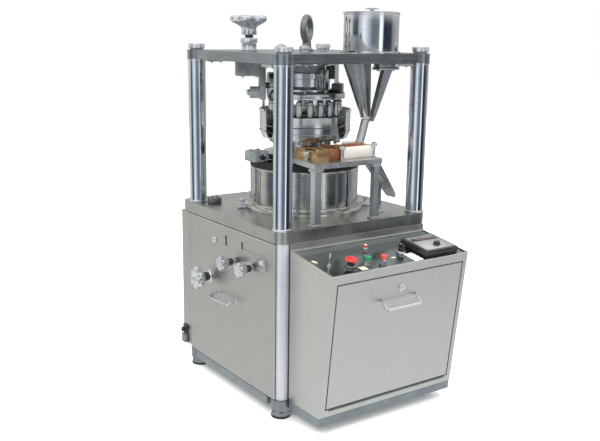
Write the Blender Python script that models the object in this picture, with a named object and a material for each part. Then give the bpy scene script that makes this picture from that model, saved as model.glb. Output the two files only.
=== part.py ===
"""Single-sided rotary tablet press: a four-pillar frame, a turret with its punches, a hopper feed,
a drive inside the cabinet and a sloped control console. Metres, +Z up, the console faces -Y."""
import math

import bmesh
import bpy
from mathutils import Matrix, Vector

# Clearances and sheet
GAP = 0.0003
RUNNING_GAP = 0.001
SHEET = 0.003

# Frame
PILLAR_PITCH = 0.661
PILLAR_R = 0.03625
FOOT_COLLAR_R = 0.041
FOOT_R = 0.036
PLINTH_LOW = 0.0414
PLINTH_HIGH = 0.0753
DECK_TOP = 0.750
DECK_RIM = 0.0465
DECK_SKIN = 0.012
DECK_EDGE = 0.040
DECK_REAR = 0.0443
PLATE_TOP = 1.400
PLATE_THICK = 0.038
PLATE_EDGE = 0.024
PLATE_BOSS_R = 0.0395
CAP_R = 0.034
CAP_HIGH = 0.025
PANEL_LAP = 0.0145
COVER_DEPTH = 0.0435
EYE_TURN = math.radians(-53)

# Console
CONSOLE_LEFT = -0.321
CONSOLE_RIGHT = 0.349
CONSOLE_DEPTH = 0.264
CONSOLE_FOOT_DEPTH = 0.199
CONSOLE_FRONT_TOP = 0.639
CONSOLE_BACK_TOP = 0.678
CONTROL_RECESS = 0.003
DOOR_LEFT = -0.290
DOOR_RIGHT = 0.3235
DOOR_RISE = 0.033
DOOR_HIGH = 0.495
DOOR_CLEARANCE = 0.0015

# Turret and tooling
STATIONS = 20
PUNCH_CIRCLE_R = 0.142
PUNCH_R = 0.013
STEM_R = 0.008
HEAD_R = 0.168
HEAD_LOW = 1.045
HEAD_HIGH = 1.140
PUNCH_HEAD_TOP = 1.205
STEM_TIP = 1.028
DIE_TABLE_R = 0.176
DIE_TABLE_TOP = 0.990
CARRIER_LOW = 0.880
LOWER_PUNCH_LOW = 0.852
SHAFT_R = 0.030
SKIRT_R = 0.227
SKIRT_TOP = 0.960
GUARD_R = 0.187
GUARD_LOW = 1.050
GUARD_HIGH = 1.168
CAM_LOW = 1.212
ROLLER_R = 0.055
LOWER_ROLLER_R = 0.044
ROLLER_WIDE = 0.030
PIN_R = 0.012
STATION_ANGLE = math.radians(154.5)
SCREW_REACH = 0.235

# Feed
TABLE_TOP = 0.992
FRAME_TOP = 1.020
TABLE_THICK = 0.020
TABLE_LEFT = -0.205
TABLE_RIGHT = 0.138
FEED_Y = -0.240
DRUM_X = 0.155
DRUM_Y = -0.230
DRUM_R = 0.1095
DRUM_HIGH = 0.154
FUNNEL_X = 0.080
FUNNEL_R = 0.0525
OUTLET_X = 0.1305
OUTLET_R = 0.017
OUTLET_Z = 1.142
CHUTE_R = 0.018
CHUTE_LOW_X = 0.094
CHUTE_LOW_Z = 1.012

# Drive
SHAFT_Y = 0.160
SHAFT_Z = 0.458
WORM_R = 0.014
PULLEY_X = 0.235
BIG_PULLEY_R = 0.100
SMALL_PULLEY_R = 0.050
PULLEY_WIDE = 0.040
MOTOR_Z = 0.190
MOTOR_R = 0.075
BELT_THICK = 0.008
GEARBOX_HALF = 0.130

# Hand controls
KNOB_REACH = 0.070
WHEEL_REACH = 0.075
HANDLE_ROD_R = 0.0055
WEIGHT_KNOB = (-0.040, 0.568)
THICKNESS_KNOB = (-0.180, 0.573)
SIDE_LOCK = (0.118, 0.626)
SCALE_SLOTS = ((0.024, 0.641), (-0.103, 0.640))
TO_LEFT = (0.0, -math.pi / 2, 0.0)

# Derived places
HALF = PILLAR_PITCH / 2
SIDE = HALF + DECK_EDGE
PLATE_LOW = PLATE_TOP - PLATE_THICK
DECK_LOW = DECK_TOP - DECK_RIM
FRONT = -SIDE
CONSOLE_TOP_EDGE = FRONT - CONSOLE_DEPTH
CONSOLE_FOOT_EDGE = FRONT - CONSOLE_FOOT_DEPTH
PANEL_TILT = math.atan2(CONSOLE_BACK_TOP - CONSOLE_FRONT_TOP, CONSOLE_DEPTH)
FACE_LEAN = math.atan2(CONSOLE_DEPTH - CONSOLE_FOOT_DEPTH, CONSOLE_FRONT_TOP - PLINTH_HIGH)
CORNERS = {"front_left": (-1, -1), "front_right": (1, -1), "rear_left": (-1, 1), "rear_right": (1, 1)}
PANEL_LONG = CONSOLE_DEPTH / math.cos(PANEL_TILT)
PANEL_BORES = {
    "e_stop": (-0.1936, 0.060, 0.0085), "start_button": (-0.1243, 0.053, 0.0105),
    "stop_button": (-0.0549, 0.041, 0.0105), "selector_knob": (0.0835, 0.098, 0.0075),
    "toggle_lever": (-0.2639, 0.097, 0.0055),
}
SPEED_BOX = (0.140, 0.016, 0.305, 0.171)
SPEED_BOX_HIGH = 0.028
SPEED_KNOB = (0.232, 0.062)


# ---------------------------------------------------------------- helpers

def clear_scene():
    """Remove every object that the file starts with."""
    for item in list(bpy.data.objects):
        bpy.data.objects.remove(item, do_unlink=True)


def empty(name, parent=None, at=(0.0, 0.0, 0.0), turn=(0.0, 0.0, 0.0)):
    """Add a frame that pieces are parented to."""
    frame = bpy.data.objects.new(name, None)
    frame.location = at
    frame.rotation_euler = turn
    frame.parent = parent
    bpy.context.scene.collection.objects.link(frame)
    return frame


def finish(name, colour, metallic, roughness):
    """Make a Principled material."""
    material = bpy.data.materials.new(name)
    material.use_nodes = True
    shader = material.node_tree.nodes["Principled BSDF"]
    shader.inputs["Base Color"].default_value = (*colour, 1.0)
    shader.inputs["Metallic"].default_value = metallic
    shader.inputs["Roughness"].default_value = roughness
    return material


def steel(name):
    return finish(name, (0.52, 0.52, 0.50), 1.0, 0.35)


def chrome(name):
    return finish(name, (0.80, 0.81, 0.83), 1.0, 0.10)


def cast(name):
    return finish(name, (0.33, 0.35, 0.37), 0.6, 0.50)


def black(name):
    return finish(name, (0.02, 0.02, 0.022), 0.0, 0.45)


def add(name, bm, material, parent, at=(0.0, 0.0, 0.0), turn=(0.0, 0.0, 0.0)):
    """Turn a bmesh into a named object with its own material under a parent."""
    bmesh.ops.recalc_face_normals(bm, faces=bm.faces)
    mesh = bpy.data.meshes.new(name)
    bm.to_mesh(mesh)
    bm.free()
    mesh.shade_smooth()
    mesh.set_sharp_from_angle(angle=math.radians(35))
    if material is not None:
        mesh.materials.append(material)
    item = bpy.data.objects.new(name, mesh)
    item.location = at
    item.rotation_euler = turn
    item.parent = parent
    bpy.context.scene.collection.objects.link(item)
    return item


def combine(target, bm, operation, at=None, turn=None):
    """Cut a shape from a piece, or join one to it; the tool shape itself isn't part of the model."""
    at = target.location if at is None else at
    turn = target.rotation_euler if turn is None else turn
    tool = add(target.name + "_tool", bm, None, target.parent, at, turn)
    tool.hide_render = True
    tool.display_type = "WIRE"
    step = target.modifiers.new(operation.lower(), "BOOLEAN")
    step.operation = operation
    step.object = tool


def block(low, high, rounding=0.0):
    """A box between two corners, with its edges rounded if asked."""
    bm = bmesh.new()
    size = Vector(high) - Vector(low)
    centre = (Vector(high) + Vector(low)) / 2
    bmesh.ops.create_cube(bm, size=1.0, matrix=Matrix.Translation(centre) @ Matrix.Diagonal((*size, 1.0)))
    if rounding:
        bmesh.ops.bevel(bm, geom=bm.edges[:], offset=rounding, segments=2, profile=0.5, affect="EDGES")
    return bm


def prism(outline, low, high, along="Z"):
    """Extrude a flat outline along an axis; it is given in XY, or in YZ for X, or in XZ for Y."""
    order = {"Z": lambda a, b, h: (a, b, h), "X": lambda a, b, h: (h, a, b), "Y": lambda a, b, h: (a, h, b)}
    place = order[along]
    bm = bmesh.new()
    face = bm.faces.new([bm.verts.new(place(a, b, low)) for a, b in outline])
    grown = bmesh.ops.extrude_face_region(bm, geom=[face])
    moved = [item for item in grown["geom"] if isinstance(item, bmesh.types.BMVert)]
    bmesh.ops.translate(bm, verts=moved, vec=Vector(place(0.0, 0.0, high - low)))
    return bm


def lathe(profile, steps=32, along="Z"):
    """Spin a profile of (radius, height) once round an axis; off the axis it closes into a ring."""
    bm = bmesh.new()
    verts = [bm.verts.new((radius, 0.0, height)) for radius, height in profile]
    edges = [bm.edges.new(pair) for pair in zip(verts, verts[1:])]
    if profile[0][0] > 0.0:
        edges.append(bm.edges.new((verts[-1], verts[0])))
    bmesh.ops.spin(bm, geom=verts + edges, cent=(0.0, 0.0, 0.0), axis=(0.0, 0.0, 1.0),
                   angle=math.tau, steps=steps, use_merge=True)
    bmesh.ops.remove_doubles(bm, verts=bm.verts, dist=0.00001)
    aim = {"Z": Matrix.Identity(4), "X": Matrix.Rotation(math.pi / 2, 4, "Y"),
           "Y": Matrix.Rotation(-math.pi / 2, 4, "X")}
    bmesh.ops.transform(bm, matrix=aim[along], verts=bm.verts)
    return bm


def disc(radius, low, high, steps=32, along="Z"):
    """A plain cylinder."""
    return lathe([(0.0, low), (radius, low), (radius, high), (0.0, high)], steps, along)


def loft(rings, hollow=False):
    """Skin a row of rings with equal counts; a hollow one joins its last ring back to its first."""
    bm = bmesh.new()
    rows = [[bm.verts.new(point) for point in ring] for ring in rings]
    pairs = list(zip(rows, rows[1:]))
    if hollow:
        pairs.append((rows[-1], rows[0]))
    else:
        bm.faces.new(rows[0])
        bm.faces.new(rows[-1])
    for near, far in pairs:
        for index in range(len(near)):
            after = (index + 1) % len(near)
            bm.faces.new((near[index], near[after], far[after], far[index]))
    return bm


def circle(x, y, z, radius, steps=24):
    """A level ring of points."""
    angles = [math.tau * index / steps for index in range(steps)]
    return [(x + radius * math.cos(angle), y + radius * math.sin(angle), z) for angle in angles]


def lobed(height, radius, depth, lobes, steps=24):
    """A level ring whose radius dips between its lobes."""
    ring = []
    for index in range(steps):
        angle = math.tau * index / steps
        dip = depth * (0.5 - 0.5 * math.cos(lobes * angle)) ** 1.5
        reach = radius - dip
        ring.append((reach * math.cos(angle), reach * math.sin(angle), height))
    return ring


def rounded_path(points, radius, steps=3):
    """A path with each corner replaced by a short curve."""
    path = [Vector(points[0])]
    for before, corner, after in zip(points, points[1:], points[2:]):
        corner = Vector(corner)
        start = corner + (Vector(before) - corner).normalized() * radius
        end = corner + (Vector(after) - corner).normalized() * radius
        for index in range(steps + 1):
            share = index / steps
            path.append(start * (1 - share) ** 2 + corner * 2 * share * (1 - share) + end * share ** 2)
    path.append(Vector(points[-1]))
    return path


def rod(name, path, radius, material, parent, at):
    """A round rod along a path."""
    curve = bpy.data.curves.new(name, "CURVE")
    curve.dimensions = "3D"
    curve.bevel_depth = radius
    curve.bevel_resolution = 1
    curve.use_fill_caps = True
    spline = curve.splines.new("POLY")
    spline.points.add(len(path) - 1)
    for point, place in zip(spline.points, path):
        point.co = (*place, 1.0)
    curve.materials.append(material)
    item = bpy.data.objects.new(name, curve)
    item.location = at
    item.parent = parent
    bpy.context.scene.collection.objects.link(item)
    return item


def plate_outline(edge, boss_r, steps=7):
    """A square plate with straight sides and a round boss at each pillar."""
    lap = math.acos(edge / boss_r)
    points = []
    for quarter, (side_x, side_y) in enumerate(((1, 1), (-1, 1), (-1, -1), (1, -1))):
        start = quarter * math.pi / 2 - lap
        sweep = math.pi / 2 + 2 * lap
        for index in range(steps + 1):
            angle = start + sweep * index / steps
            across = side_x * HALF + boss_r * math.cos(angle)
            points.append((across, side_y * HALF + boss_r * math.sin(angle)))
    return points


# ---------------------------------------------------------------- frame

def build_base(machine):
    """The base slab with a notch for each foot, and the feet."""
    inner = HALF - FOOT_COLLAR_R - GAP
    outer = HALF + FOOT_COLLAR_R + GAP
    flank = SIDE - 0.001
    left = CONSOLE_LEFT + 0.0015
    right = CONSOLE_RIGHT - 0.0015
    nose = CONSOLE_FOOT_EDGE + 0.003
    outline = [
        (left, nose), (right, nose), (right, -outer), (inner, -outer), (inner, -inner), (flank, -inner),
        (flank, inner), (inner, inner), (inner, flank), (-inner, flank), (-inner, inner), (-flank, inner),
        (-flank, -inner), (-inner, -inner), (-inner, -outer), (left, -outer),
    ]
    add("base_plinth", prism(outline, PLINTH_LOW, PLINTH_HIGH), cast("plinth_grey"), machine)
    collar_top = PLINTH_HIGH
    profile = [
        (0.0, 0.0), (FOOT_R - 0.006, 0.0), (FOOT_R, 0.006), (FOOT_R, 0.028), (FOOT_COLLAR_R, 0.032),
        (FOOT_COLLAR_R, collar_top), (0.0, collar_top),
    ]
    for corner, (side_x, side_y) in CORNERS.items():
        name = "foot_" + corner
        add(name, lathe(profile, 16), cast(name), machine, (side_x * HALF, side_y * HALF, 0.0))


def build_pillars(machine):
    """The four pillars and the cap nut over each of them."""
    low = PLINTH_HIGH + GAP
    high = PLATE_LOW - GAP
    cap = [
        (0.0, 0.0), (CAP_R - 0.005, 0.0), (CAP_R - 0.005, 0.008), (CAP_R, 0.010), (CAP_R, CAP_HIGH - 0.003),
        (CAP_R - 0.003, CAP_HIGH), (0.0, CAP_HIGH),
    ]
    for corner, (side_x, side_y) in CORNERS.items():
        place = (side_x * HALF, side_y * HALF, 0.0)
        add("pillar_" + corner, disc(PILLAR_R, low, high, 24), chrome("pillar_" + corner), machine, place)
        top = (place[0], place[1], PLATE_TOP + GAP)
        add("cap_nut_" + corner, lathe(cap, 16), chrome("cap_nut_" + corner), machine, top)


def build_plates(machine):
    """The top plate with its holes, and the deck with its pillar bores and its pocket."""
    plate = add("top_plate", prism(plate_outline(PLATE_EDGE, PLATE_BOSS_R), PLATE_LOW, PLATE_TOP),
                steel("top_plate"), machine)
    hopper_hole = disc(FUNNEL_R + SHEET + GAP, PLATE_LOW - 0.01, PLATE_TOP + 0.01)
    combine(plate, hopper_hole, "DIFFERENCE", (FUNNEL_X, FEED_Y, 0.0))
    screw_x = SCREW_REACH * math.cos(STATION_ANGLE)
    screw_y = SCREW_REACH * math.sin(STATION_ANGLE)
    screw_hole = disc(PIN_R + GAP, PLATE_LOW - 0.01, PLATE_TOP + 0.01, 24)
    combine(plate, screw_hole, "DIFFERENCE", (screw_x, screw_y, 0.0))
    outline = [(x, y + DECK_REAR if y > 0 else y) for x, y in plate_outline(DECK_EDGE, DECK_EDGE)]
    deck = add("deck_plate", prism(outline, DECK_LOW, DECK_TOP), steel("deck_plate"), machine)
    reach = HALF - PILLAR_R - 0.009
    pocket = block((-reach, -reach, DECK_LOW - 0.01), (reach, reach, DECK_TOP - DECK_SKIN))
    combine(deck, pocket, "DIFFERENCE")
    combine(deck, disc(SHAFT_R + 0.010, DECK_LOW, DECK_TOP + 0.01, 32), "DIFFERENCE")
    for side_x, side_y in CORNERS.values():
        bore = disc(PILLAR_R + 2 * GAP, DECK_LOW - 0.01, DECK_TOP + 0.01, 24)
        combine(deck, bore, "DIFFERENCE", (side_x * HALF, side_y * HALF, 0.0))


def build_cabinet(machine):
    """The side panels, the rear cover and its cable gland."""
    low = PLINTH_HIGH + GAP
    high = DECK_LOW - GAP
    half = HALF + PANEL_LAP
    sheet = block((-SIDE, -half, low), (-SIDE + SHEET, half, high))
    left = add("left_panel", sheet, steel("left_panel"), machine)
    bores = ((WEIGHT_KNOB, 0.009), (THICKNESS_KNOB, 0.009), (SIDE_LOCK, 0.0085),
             ((SHAFT_Y, SHAFT_Z), WORM_R + RUNNING_GAP))
    for (y, z), radius in bores:
        bore = disc(radius, -SIDE - 0.01, -SIDE + SHEET + 0.01, 20, "X")
        combine(left, bore, "DIFFERENCE", (0.0, y, z))
    for y, z in SCALE_SLOTS:
        slot = block((-SIDE - 0.01, y - 0.004, z - 0.019), (-SIDE + SHEET + 0.01, y + 0.004, z + 0.019))
        combine(left, slot, "DIFFERENCE")
    add("right_panel", block((SIDE - SHEET, -half, low), (SIDE, half, high)), steel("right_panel"), machine)
    back = SIDE + GAP
    rear = back + COVER_DEPTH
    bottom = PLINTH_HIGH + 0.010
    top = DECK_LOW - GAP
    bend = 0.030
    arc = [(rear - bend + bend * math.sin(turn), bottom + bend - bend * math.cos(turn))
           for turn in (math.pi / 2 * index / 5 for index in range(6))]
    skin = [(back, bottom)] + arc + [(rear, top), (back, top)]
    cover = add("rear_cover", prism(skin, -SIDE, SIDE, "X"), steel("rear_cover"), machine)
    inner_low = (-SIDE + SHEET, back - 0.01, bottom + bend + SHEET)
    inner_high = (SIDE - SHEET, rear - SHEET, top - SHEET)
    combine(cover, block(inner_low, inner_high), "DIFFERENCE")
    for low_x in (-SIDE, SIDE - SHEET):
        flange = block((low_x, half + 0.0015, bottom + 0.002), (low_x + SHEET, back + 0.012, top - 0.002))
        combine(cover, flange, "UNION")
    nut = [(0.0, 0.0), (0.015, 0.0), (0.015, 0.008), (0.011, 0.010), (0.011, 0.020), (0.0, 0.020)]
    gland = lathe(nut, 16)
    place = (-SIDE - GAP, back + COVER_DEPTH / 2, 0.150)
    add("cable_gland", gland, black("cable_gland"), machine, place, (0.0, -math.pi / 2, 0.0))


# ---------------------------------------------------------------- left side controls


def star_knob(shaft_r, reach, head_r, head_thick, stub):
    """A lobed knob on a shaft along +Z: the shaft goes back by stub behind the panel face at zero."""
    collar = shaft_r * 1.6
    hub = shaft_r * 1.9
    start = reach - head_thick
    depth = head_r * 0.22
    rings = [
        (-stub, shaft_r, 0.0), (reach * 0.15, shaft_r, 0.0), (reach * 0.15, collar, 0.0),
        (reach * 0.42, collar, 0.0), (reach * 0.42, hub, 0.0), (start - 0.002, hub, 0.0),
        (start, head_r - depth * 1.3, depth * 0.5), (start + head_thick * 0.3, head_r, depth),
        (start + head_thick * 0.75, head_r, depth), (reach, head_r - depth, depth * 0.7),
    ]
    return loft([lobed(height, radius, dip, 6) for height, radius, dip in rings])


def build_side_controls(machine):
    """Two setting knobs, the handle and the lock on the left panel."""
    for name, (y, z) in (("weight_knob", WEIGHT_KNOB), ("thickness_knob", THICKNESS_KNOB)):
        shape = star_knob(0.008, KNOB_REACH, 0.0315, 0.020, 0.012)
        add(name, shape, chrome(name), machine, (-SIDE, y, z), TO_LEFT)
    bar = rounded_path([(0.0, -0.070, 0.0), (-0.012, -0.070, 0.0), (-0.045, -0.070, -0.012),
                        (-0.045, 0.070, -0.012), (-0.012, 0.070, 0.0), (0.0, 0.070, 0.0)], 0.010)
    rod("side_handle", bar, HANDLE_ROD_R, chrome("side_handle"), machine, (-SIDE - GAP, 0.014, 0.405))
    lock = lathe([(0.0, -0.020), (0.008, -0.020), (0.008, GAP), (0.014, GAP), (0.014, 0.003), (0.012, 0.005),
                  (0.0, 0.005)], 20)
    add("side_lock", lock, chrome("side_lock"), machine, (-SIDE, *SIDE_LOCK), TO_LEFT)


# ---------------------------------------------------------------- console

def build_console(machine):
    """The console shell, open at its top and front, with the control panel in its top."""
    back = FRONT - GAP
    low = PLINTH_HIGH + GAP
    high = DECK_LOW - GAP
    side = [(back, low), (back, high), (back - SHEET, high), (back - SHEET, CONSOLE_BACK_TOP),
            (CONSOLE_TOP_EDGE, CONSOLE_FRONT_TOP), (CONSOLE_FOOT_EDGE, low)]
    shell = add("console_body", prism(side, CONSOLE_LEFT, CONSOLE_RIGHT, "X"), steel("console_body"), machine)
    rim = 0.006
    slope = math.tan(PANEL_TILT)
    lean = math.tan(FACE_LEAN)
    panel_drop = CONTROL_RECESS + SHEET + GAP
    front_top = CONSOLE_TOP_EDGE + SHEET
    hollow = [
        (back - SHEET - 0.006, low + SHEET), (back - SHEET - 0.006, CONSOLE_BACK_TOP - panel_drop - 0.004),
        (front_top, CONSOLE_FRONT_TOP - panel_drop - 0.004 + slope * SHEET),
        (CONSOLE_FOOT_EDGE + SHEET + lean * SHEET, low + SHEET),
    ]
    combine(shell, prism(hollow, CONSOLE_LEFT + SHEET, CONSOLE_RIGHT - SHEET, "X"), "DIFFERENCE")
    tray_end = PANEL_LONG - rim - 0.006
    tray = block((CONSOLE_LEFT + rim, rim, -panel_drop), (CONSOLE_RIGHT - rim, tray_end, 0.02))
    combine(shell, tray, "DIFFERENCE", (0.0, CONSOLE_TOP_EDGE, CONSOLE_FRONT_TOP), (PANEL_TILT, 0.0, 0.0))
    throat = block((CONSOLE_LEFT + 0.012, 0.012, -0.03), (CONSOLE_RIGHT - 0.012, PANEL_LONG - 0.020, 0.0))
    combine(shell, throat, "DIFFERENCE", (0.0, CONSOLE_TOP_EDGE, CONSOLE_FRONT_TOP), (PANEL_TILT, 0.0, 0.0))
    doorway = block((DOOR_LEFT - DOOR_CLEARANCE, -0.01, DOOR_RISE - DOOR_CLEARANCE),
                    (DOOR_RIGHT + DOOR_CLEARANCE, 0.02, DOOR_RISE + DOOR_HIGH + DOOR_CLEARANCE))
    combine(shell, doorway, "DIFFERENCE", (0.0, CONSOLE_FOOT_EDGE, PLINTH_HIGH), (FACE_LEAN, 0.0, 0.0))


def build_controls(machine):
    """The recessed control panel and what stands on it, in a frame on the panel's front edge."""
    front_edge = (0.0, CONSOLE_TOP_EDGE, CONSOLE_FRONT_TOP)
    frame = empty("control_frame", machine, front_edge, (PANEL_TILT, 0.0, 0.0))
    rim = 0.006 + GAP
    top = -CONTROL_RECESS
    panel = add("control_panel", block((CONSOLE_LEFT + rim, rim, top - SHEET),
                                       (CONSOLE_RIGHT - rim, PANEL_LONG - rim - 0.006, top)),
                steel("control_panel"), frame)
    for x, y, radius in PANEL_BORES.values():
        combine(panel, disc(radius + GAP, top - 0.02, top + 0.02, 20), "DIFFERENCE", (x, y, 0.0))
    stem = -0.020
    shapes = {
        "e_stop": (lathe([(0.0, stem), (0.0085, stem), (0.0085, 0.020), (0.022, 0.022), (0.0245, 0.028),
                          (0.022, 0.034), (0.0, 0.038)], 28), (0.55, 0.02, 0.02)),
        "start_button": (lathe([(0.0, stem), (0.0105, stem), (0.0105, 0.026), (0.0135, 0.026),
                                (0.0135, 0.034), (0.012, 0.036), (0.0, 0.036)], 24), (0.03, 0.30, 0.16)),
        "stop_button": (lathe([(0.0, stem), (0.0105, stem), (0.0105, 0.026), (0.0135, 0.026),
                               (0.0135, 0.034), (0.012, 0.036), (0.0, 0.036)], 24), (0.55, 0.05, 0.05)),
        "toggle_lever": (lathe([(0.0, -0.012), (0.003, -0.012), (0.003, 0.030), (0.0045, 0.046),
                                (0.003, 0.050), (0.0, 0.050)], 16), (0.75, 0.75, 0.74)),
    }
    for name, (shape, colour) in shapes.items():
        x, y, _ = PANEL_BORES[name]
        metallic = 1.0 if name == "toggle_lever" else 0.0
        add(name, shape, finish(name, colour, metallic, 0.35), frame, (x, y, top))
    x, y, radius = PANEL_BORES["selector_knob"]
    grip = loft([circle(0.0, 0.0, height, size, 24) for height, size in
                 ((stem, radius), (0.010, radius), (0.010, 0.014), (0.022, 0.0135), (0.024, 0.012))])
    knob = add("selector_knob", grip, black("selector_knob"), frame, (x, y, top))
    combine(knob, block((-0.0045, -0.015, 0.020), (0.0045, 0.015, 0.034)), "UNION")
    left, near, right, far = SPEED_BOX
    body = block((left, near, top + GAP), (right, far, top + SPEED_BOX_HIGH), 0.003)
    box = add("speed_box", body, black("speed_box"), frame)
    bore = disc(0.004 + GAP, top + SPEED_BOX_HIGH - 0.012, top + SPEED_BOX_HIGH + 0.01, 20)
    combine(box, bore, "DIFFERENCE", (*SPEED_KNOB, 0.0))
    dial = lathe([(0.0, -0.010), (0.004, -0.010), (0.004, 0.0008), (0.012, 0.0008), (0.0105, 0.014),
                  (0.0, 0.014)], 24)
    add("speed_knob", dial, black("speed_knob"), frame, (*SPEED_KNOB, top + SPEED_BOX_HIGH))


def build_door(machine):
    """The console door hinged on its lower outer edge, with its handle and its cam lock."""
    up = Vector((0.0, -math.sin(FACE_LEAN), math.cos(FACE_LEAN)))
    hinge = Vector((0.0, CONSOLE_FOOT_EDGE, PLINTH_HIGH)) + up * DOOR_RISE
    frame = empty("door_frame", machine, hinge, (FACE_LEAN, 0.0, 0.0))
    door = add("console_door", block((DOOR_LEFT, 0.0, 0.0), (DOOR_RIGHT, SHEET, DOOR_HIGH)),
               steel("console_door"), frame)
    lock_x = 0.0156
    lock_z = DOOR_HIGH - 0.053
    combine(door, disc(0.0085 + GAP, -0.02, 0.02, 20, "Y"), "DIFFERENCE", (lock_x, 0.0, lock_z))
    cam = lathe([(0.0, -0.020), (0.0085, -0.020), (0.0085, GAP), (0.0155, GAP), (0.0155, 0.004),
                 (0.013, 0.006), (0.0, 0.006)], 24)
    add("door_lock", cam, chrome("door_lock"), frame, (lock_x, 0.0, lock_z), (math.pi / 2, 0.0, 0.0))
    bar = rounded_path([(-0.084, 0.0, 0.0), (-0.084, -0.012, 0.0), (-0.084, -0.045, -0.018),
                        (0.084, -0.045, -0.018), (0.084, -0.012, 0.0), (0.084, 0.0, 0.0)], 0.010)
    rod("door_handle", bar, HANDLE_ROD_R, chrome("door_handle"), frame, (0.001, -GAP, DOOR_HIGH - 0.095))


# ---------------------------------------------------------------- top plate fittings

def build_top_fittings(machine, station):
    """The pressure screw's handwheel and boss, and the lifting eye."""
    boss = lathe([(PIN_R + GAP, GAP), (0.034, GAP), (0.034, 0.005), (0.030, 0.007), (0.030, 0.030),
                  (0.0345, 0.033), (0.0345, 0.049), (0.0315, 0.052), (PIN_R + GAP, 0.052)], 18)
    add("pressure_boss", boss, chrome("pressure_boss"), station, (SCREW_REACH, 0.0, PLATE_TOP))
    heights = (
        (-PLATE_THICK - 0.015, PIN_R, 0.0), (0.053, PIN_R, 0.0), (0.053, 0.0165, 0.0), (0.063, 0.0165, 0.0),
        (0.063, 0.029, 0.0), (0.067, 0.032, 0.0), (0.092, 0.032, 0.002), (0.098, 0.036, 0.005),
        (0.116, 0.070, 0.018), (0.124, 0.0765, 0.021), (0.134, 0.0765, 0.021), (0.140, 0.070, 0.019),
        (0.128, 0.030, 0.0),
    )
    wheel = loft([lobed(height, radius, dip, 5, 30) for height, radius, dip in heights])
    add("pressure_handwheel", wheel, chrome("pressure_handwheel"), station, (SCREW_REACH, 0.0, PLATE_TOP))
    shank = lathe([(0.0, GAP), (0.028, GAP), (0.028, 0.008), (0.020, 0.014), (0.019, 0.040),
                   (0.0, 0.040)], 24)
    eye = add("eye_bolt", shank, steel("eye_bolt"), machine, (0.006, 0.004, PLATE_TOP))
    ring = bmesh.new()
    hoop_r = 0.046
    bar_r = 0.0135
    points = [ring.verts.new((hoop_r + bar_r * math.cos(math.tau * step / 8), 0.0,
                              bar_r * math.sin(math.tau * step / 8))) for step in range(8)]
    edges = [ring.edges.new((points[index], points[(index + 1) % 8])) for index in range(8)]
    bmesh.ops.spin(ring, geom=points + edges, cent=(0.0, 0.0, 0.0), axis=(0.0, 0.0, 1.0),
                   angle=math.tau, steps=20, use_merge=True)
    stand = (Matrix.Translation((0.0, 0.0, 0.0905)) @ Matrix.Rotation(EYE_TURN, 4, "Z")
             @ Matrix.Rotation(math.pi / 2, 4, "Y"))
    bmesh.ops.transform(ring, matrix=stand, verts=ring.verts)
    combine(eye, ring, "UNION")


# ---------------------------------------------------------------- turret

def build_turret(machine):
    """The turret on its shaft, with the upper and lower punches standing in their stations."""
    profile = [
        (0.0, 0.500), (SHAFT_R, 0.500), (SHAFT_R, 0.830), (0.060, 0.840), (0.110, CARRIER_LOW),
        (DIE_TABLE_R - 0.012, CARRIER_LOW), (DIE_TABLE_R - 0.012, 0.952), (DIE_TABLE_R, 0.954),
        (DIE_TABLE_R, DIE_TABLE_TOP), (0.085, DIE_TABLE_TOP), (0.085, HEAD_LOW), (HEAD_R - 0.003, HEAD_LOW),
        (HEAD_R, HEAD_LOW + 0.003), (HEAD_R, HEAD_LOW + 0.052), (HEAD_R - 0.004, HEAD_LOW + 0.056),
        (HEAD_R - 0.004, HEAD_HIGH - 0.002), (HEAD_R - 0.006, HEAD_HIGH), (0.060, HEAD_HIGH),
        (0.050, 1.180), (SHAFT_R, 1.180), (SHAFT_R, 1.330), (0.0, 1.330),
    ]
    turret = add("turret", lathe(profile, 36), steel("turret"), machine)
    tools = bmesh.new()
    root = HEAD_HIGH - 0.004
    upper = [(0.0, root), (PUNCH_R, root), (PUNCH_R, PUNCH_HEAD_TOP - 0.005),
             (PUNCH_R - 0.003, PUNCH_HEAD_TOP), (0.0, PUNCH_HEAD_TOP)]
    stem = [(0.0, STEM_TIP), (STEM_R, STEM_TIP), (STEM_R, HEAD_LOW + 0.004), (0.0, HEAD_LOW + 0.004)]
    lower = [(0.0, LOWER_PUNCH_LOW), (PUNCH_R, LOWER_PUNCH_LOW), (PUNCH_R, CARRIER_LOW + 0.004),
             (0.0, CARRIER_LOW + 0.004)]
    for index in range(STATIONS):
        angle = math.tau * (index + 0.5) / STATIONS
        shift = Matrix.Translation((PUNCH_CIRCLE_R * math.cos(angle), PUNCH_CIRCLE_R * math.sin(angle), 0.0))
        for shape in (upper, stem, lower):
            piece = lathe(shape, 6)
            bmesh.ops.transform(piece, matrix=shift, verts=piece.verts)
            bmesh.ops.recalc_face_normals(piece, faces=piece.faces)
            mesh = bpy.data.meshes.new("punch")
            piece.to_mesh(mesh)
            piece.free()
            tools.from_mesh(mesh)
            bpy.data.meshes.remove(mesh)
    combine(turret, tools, "UNION")


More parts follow.
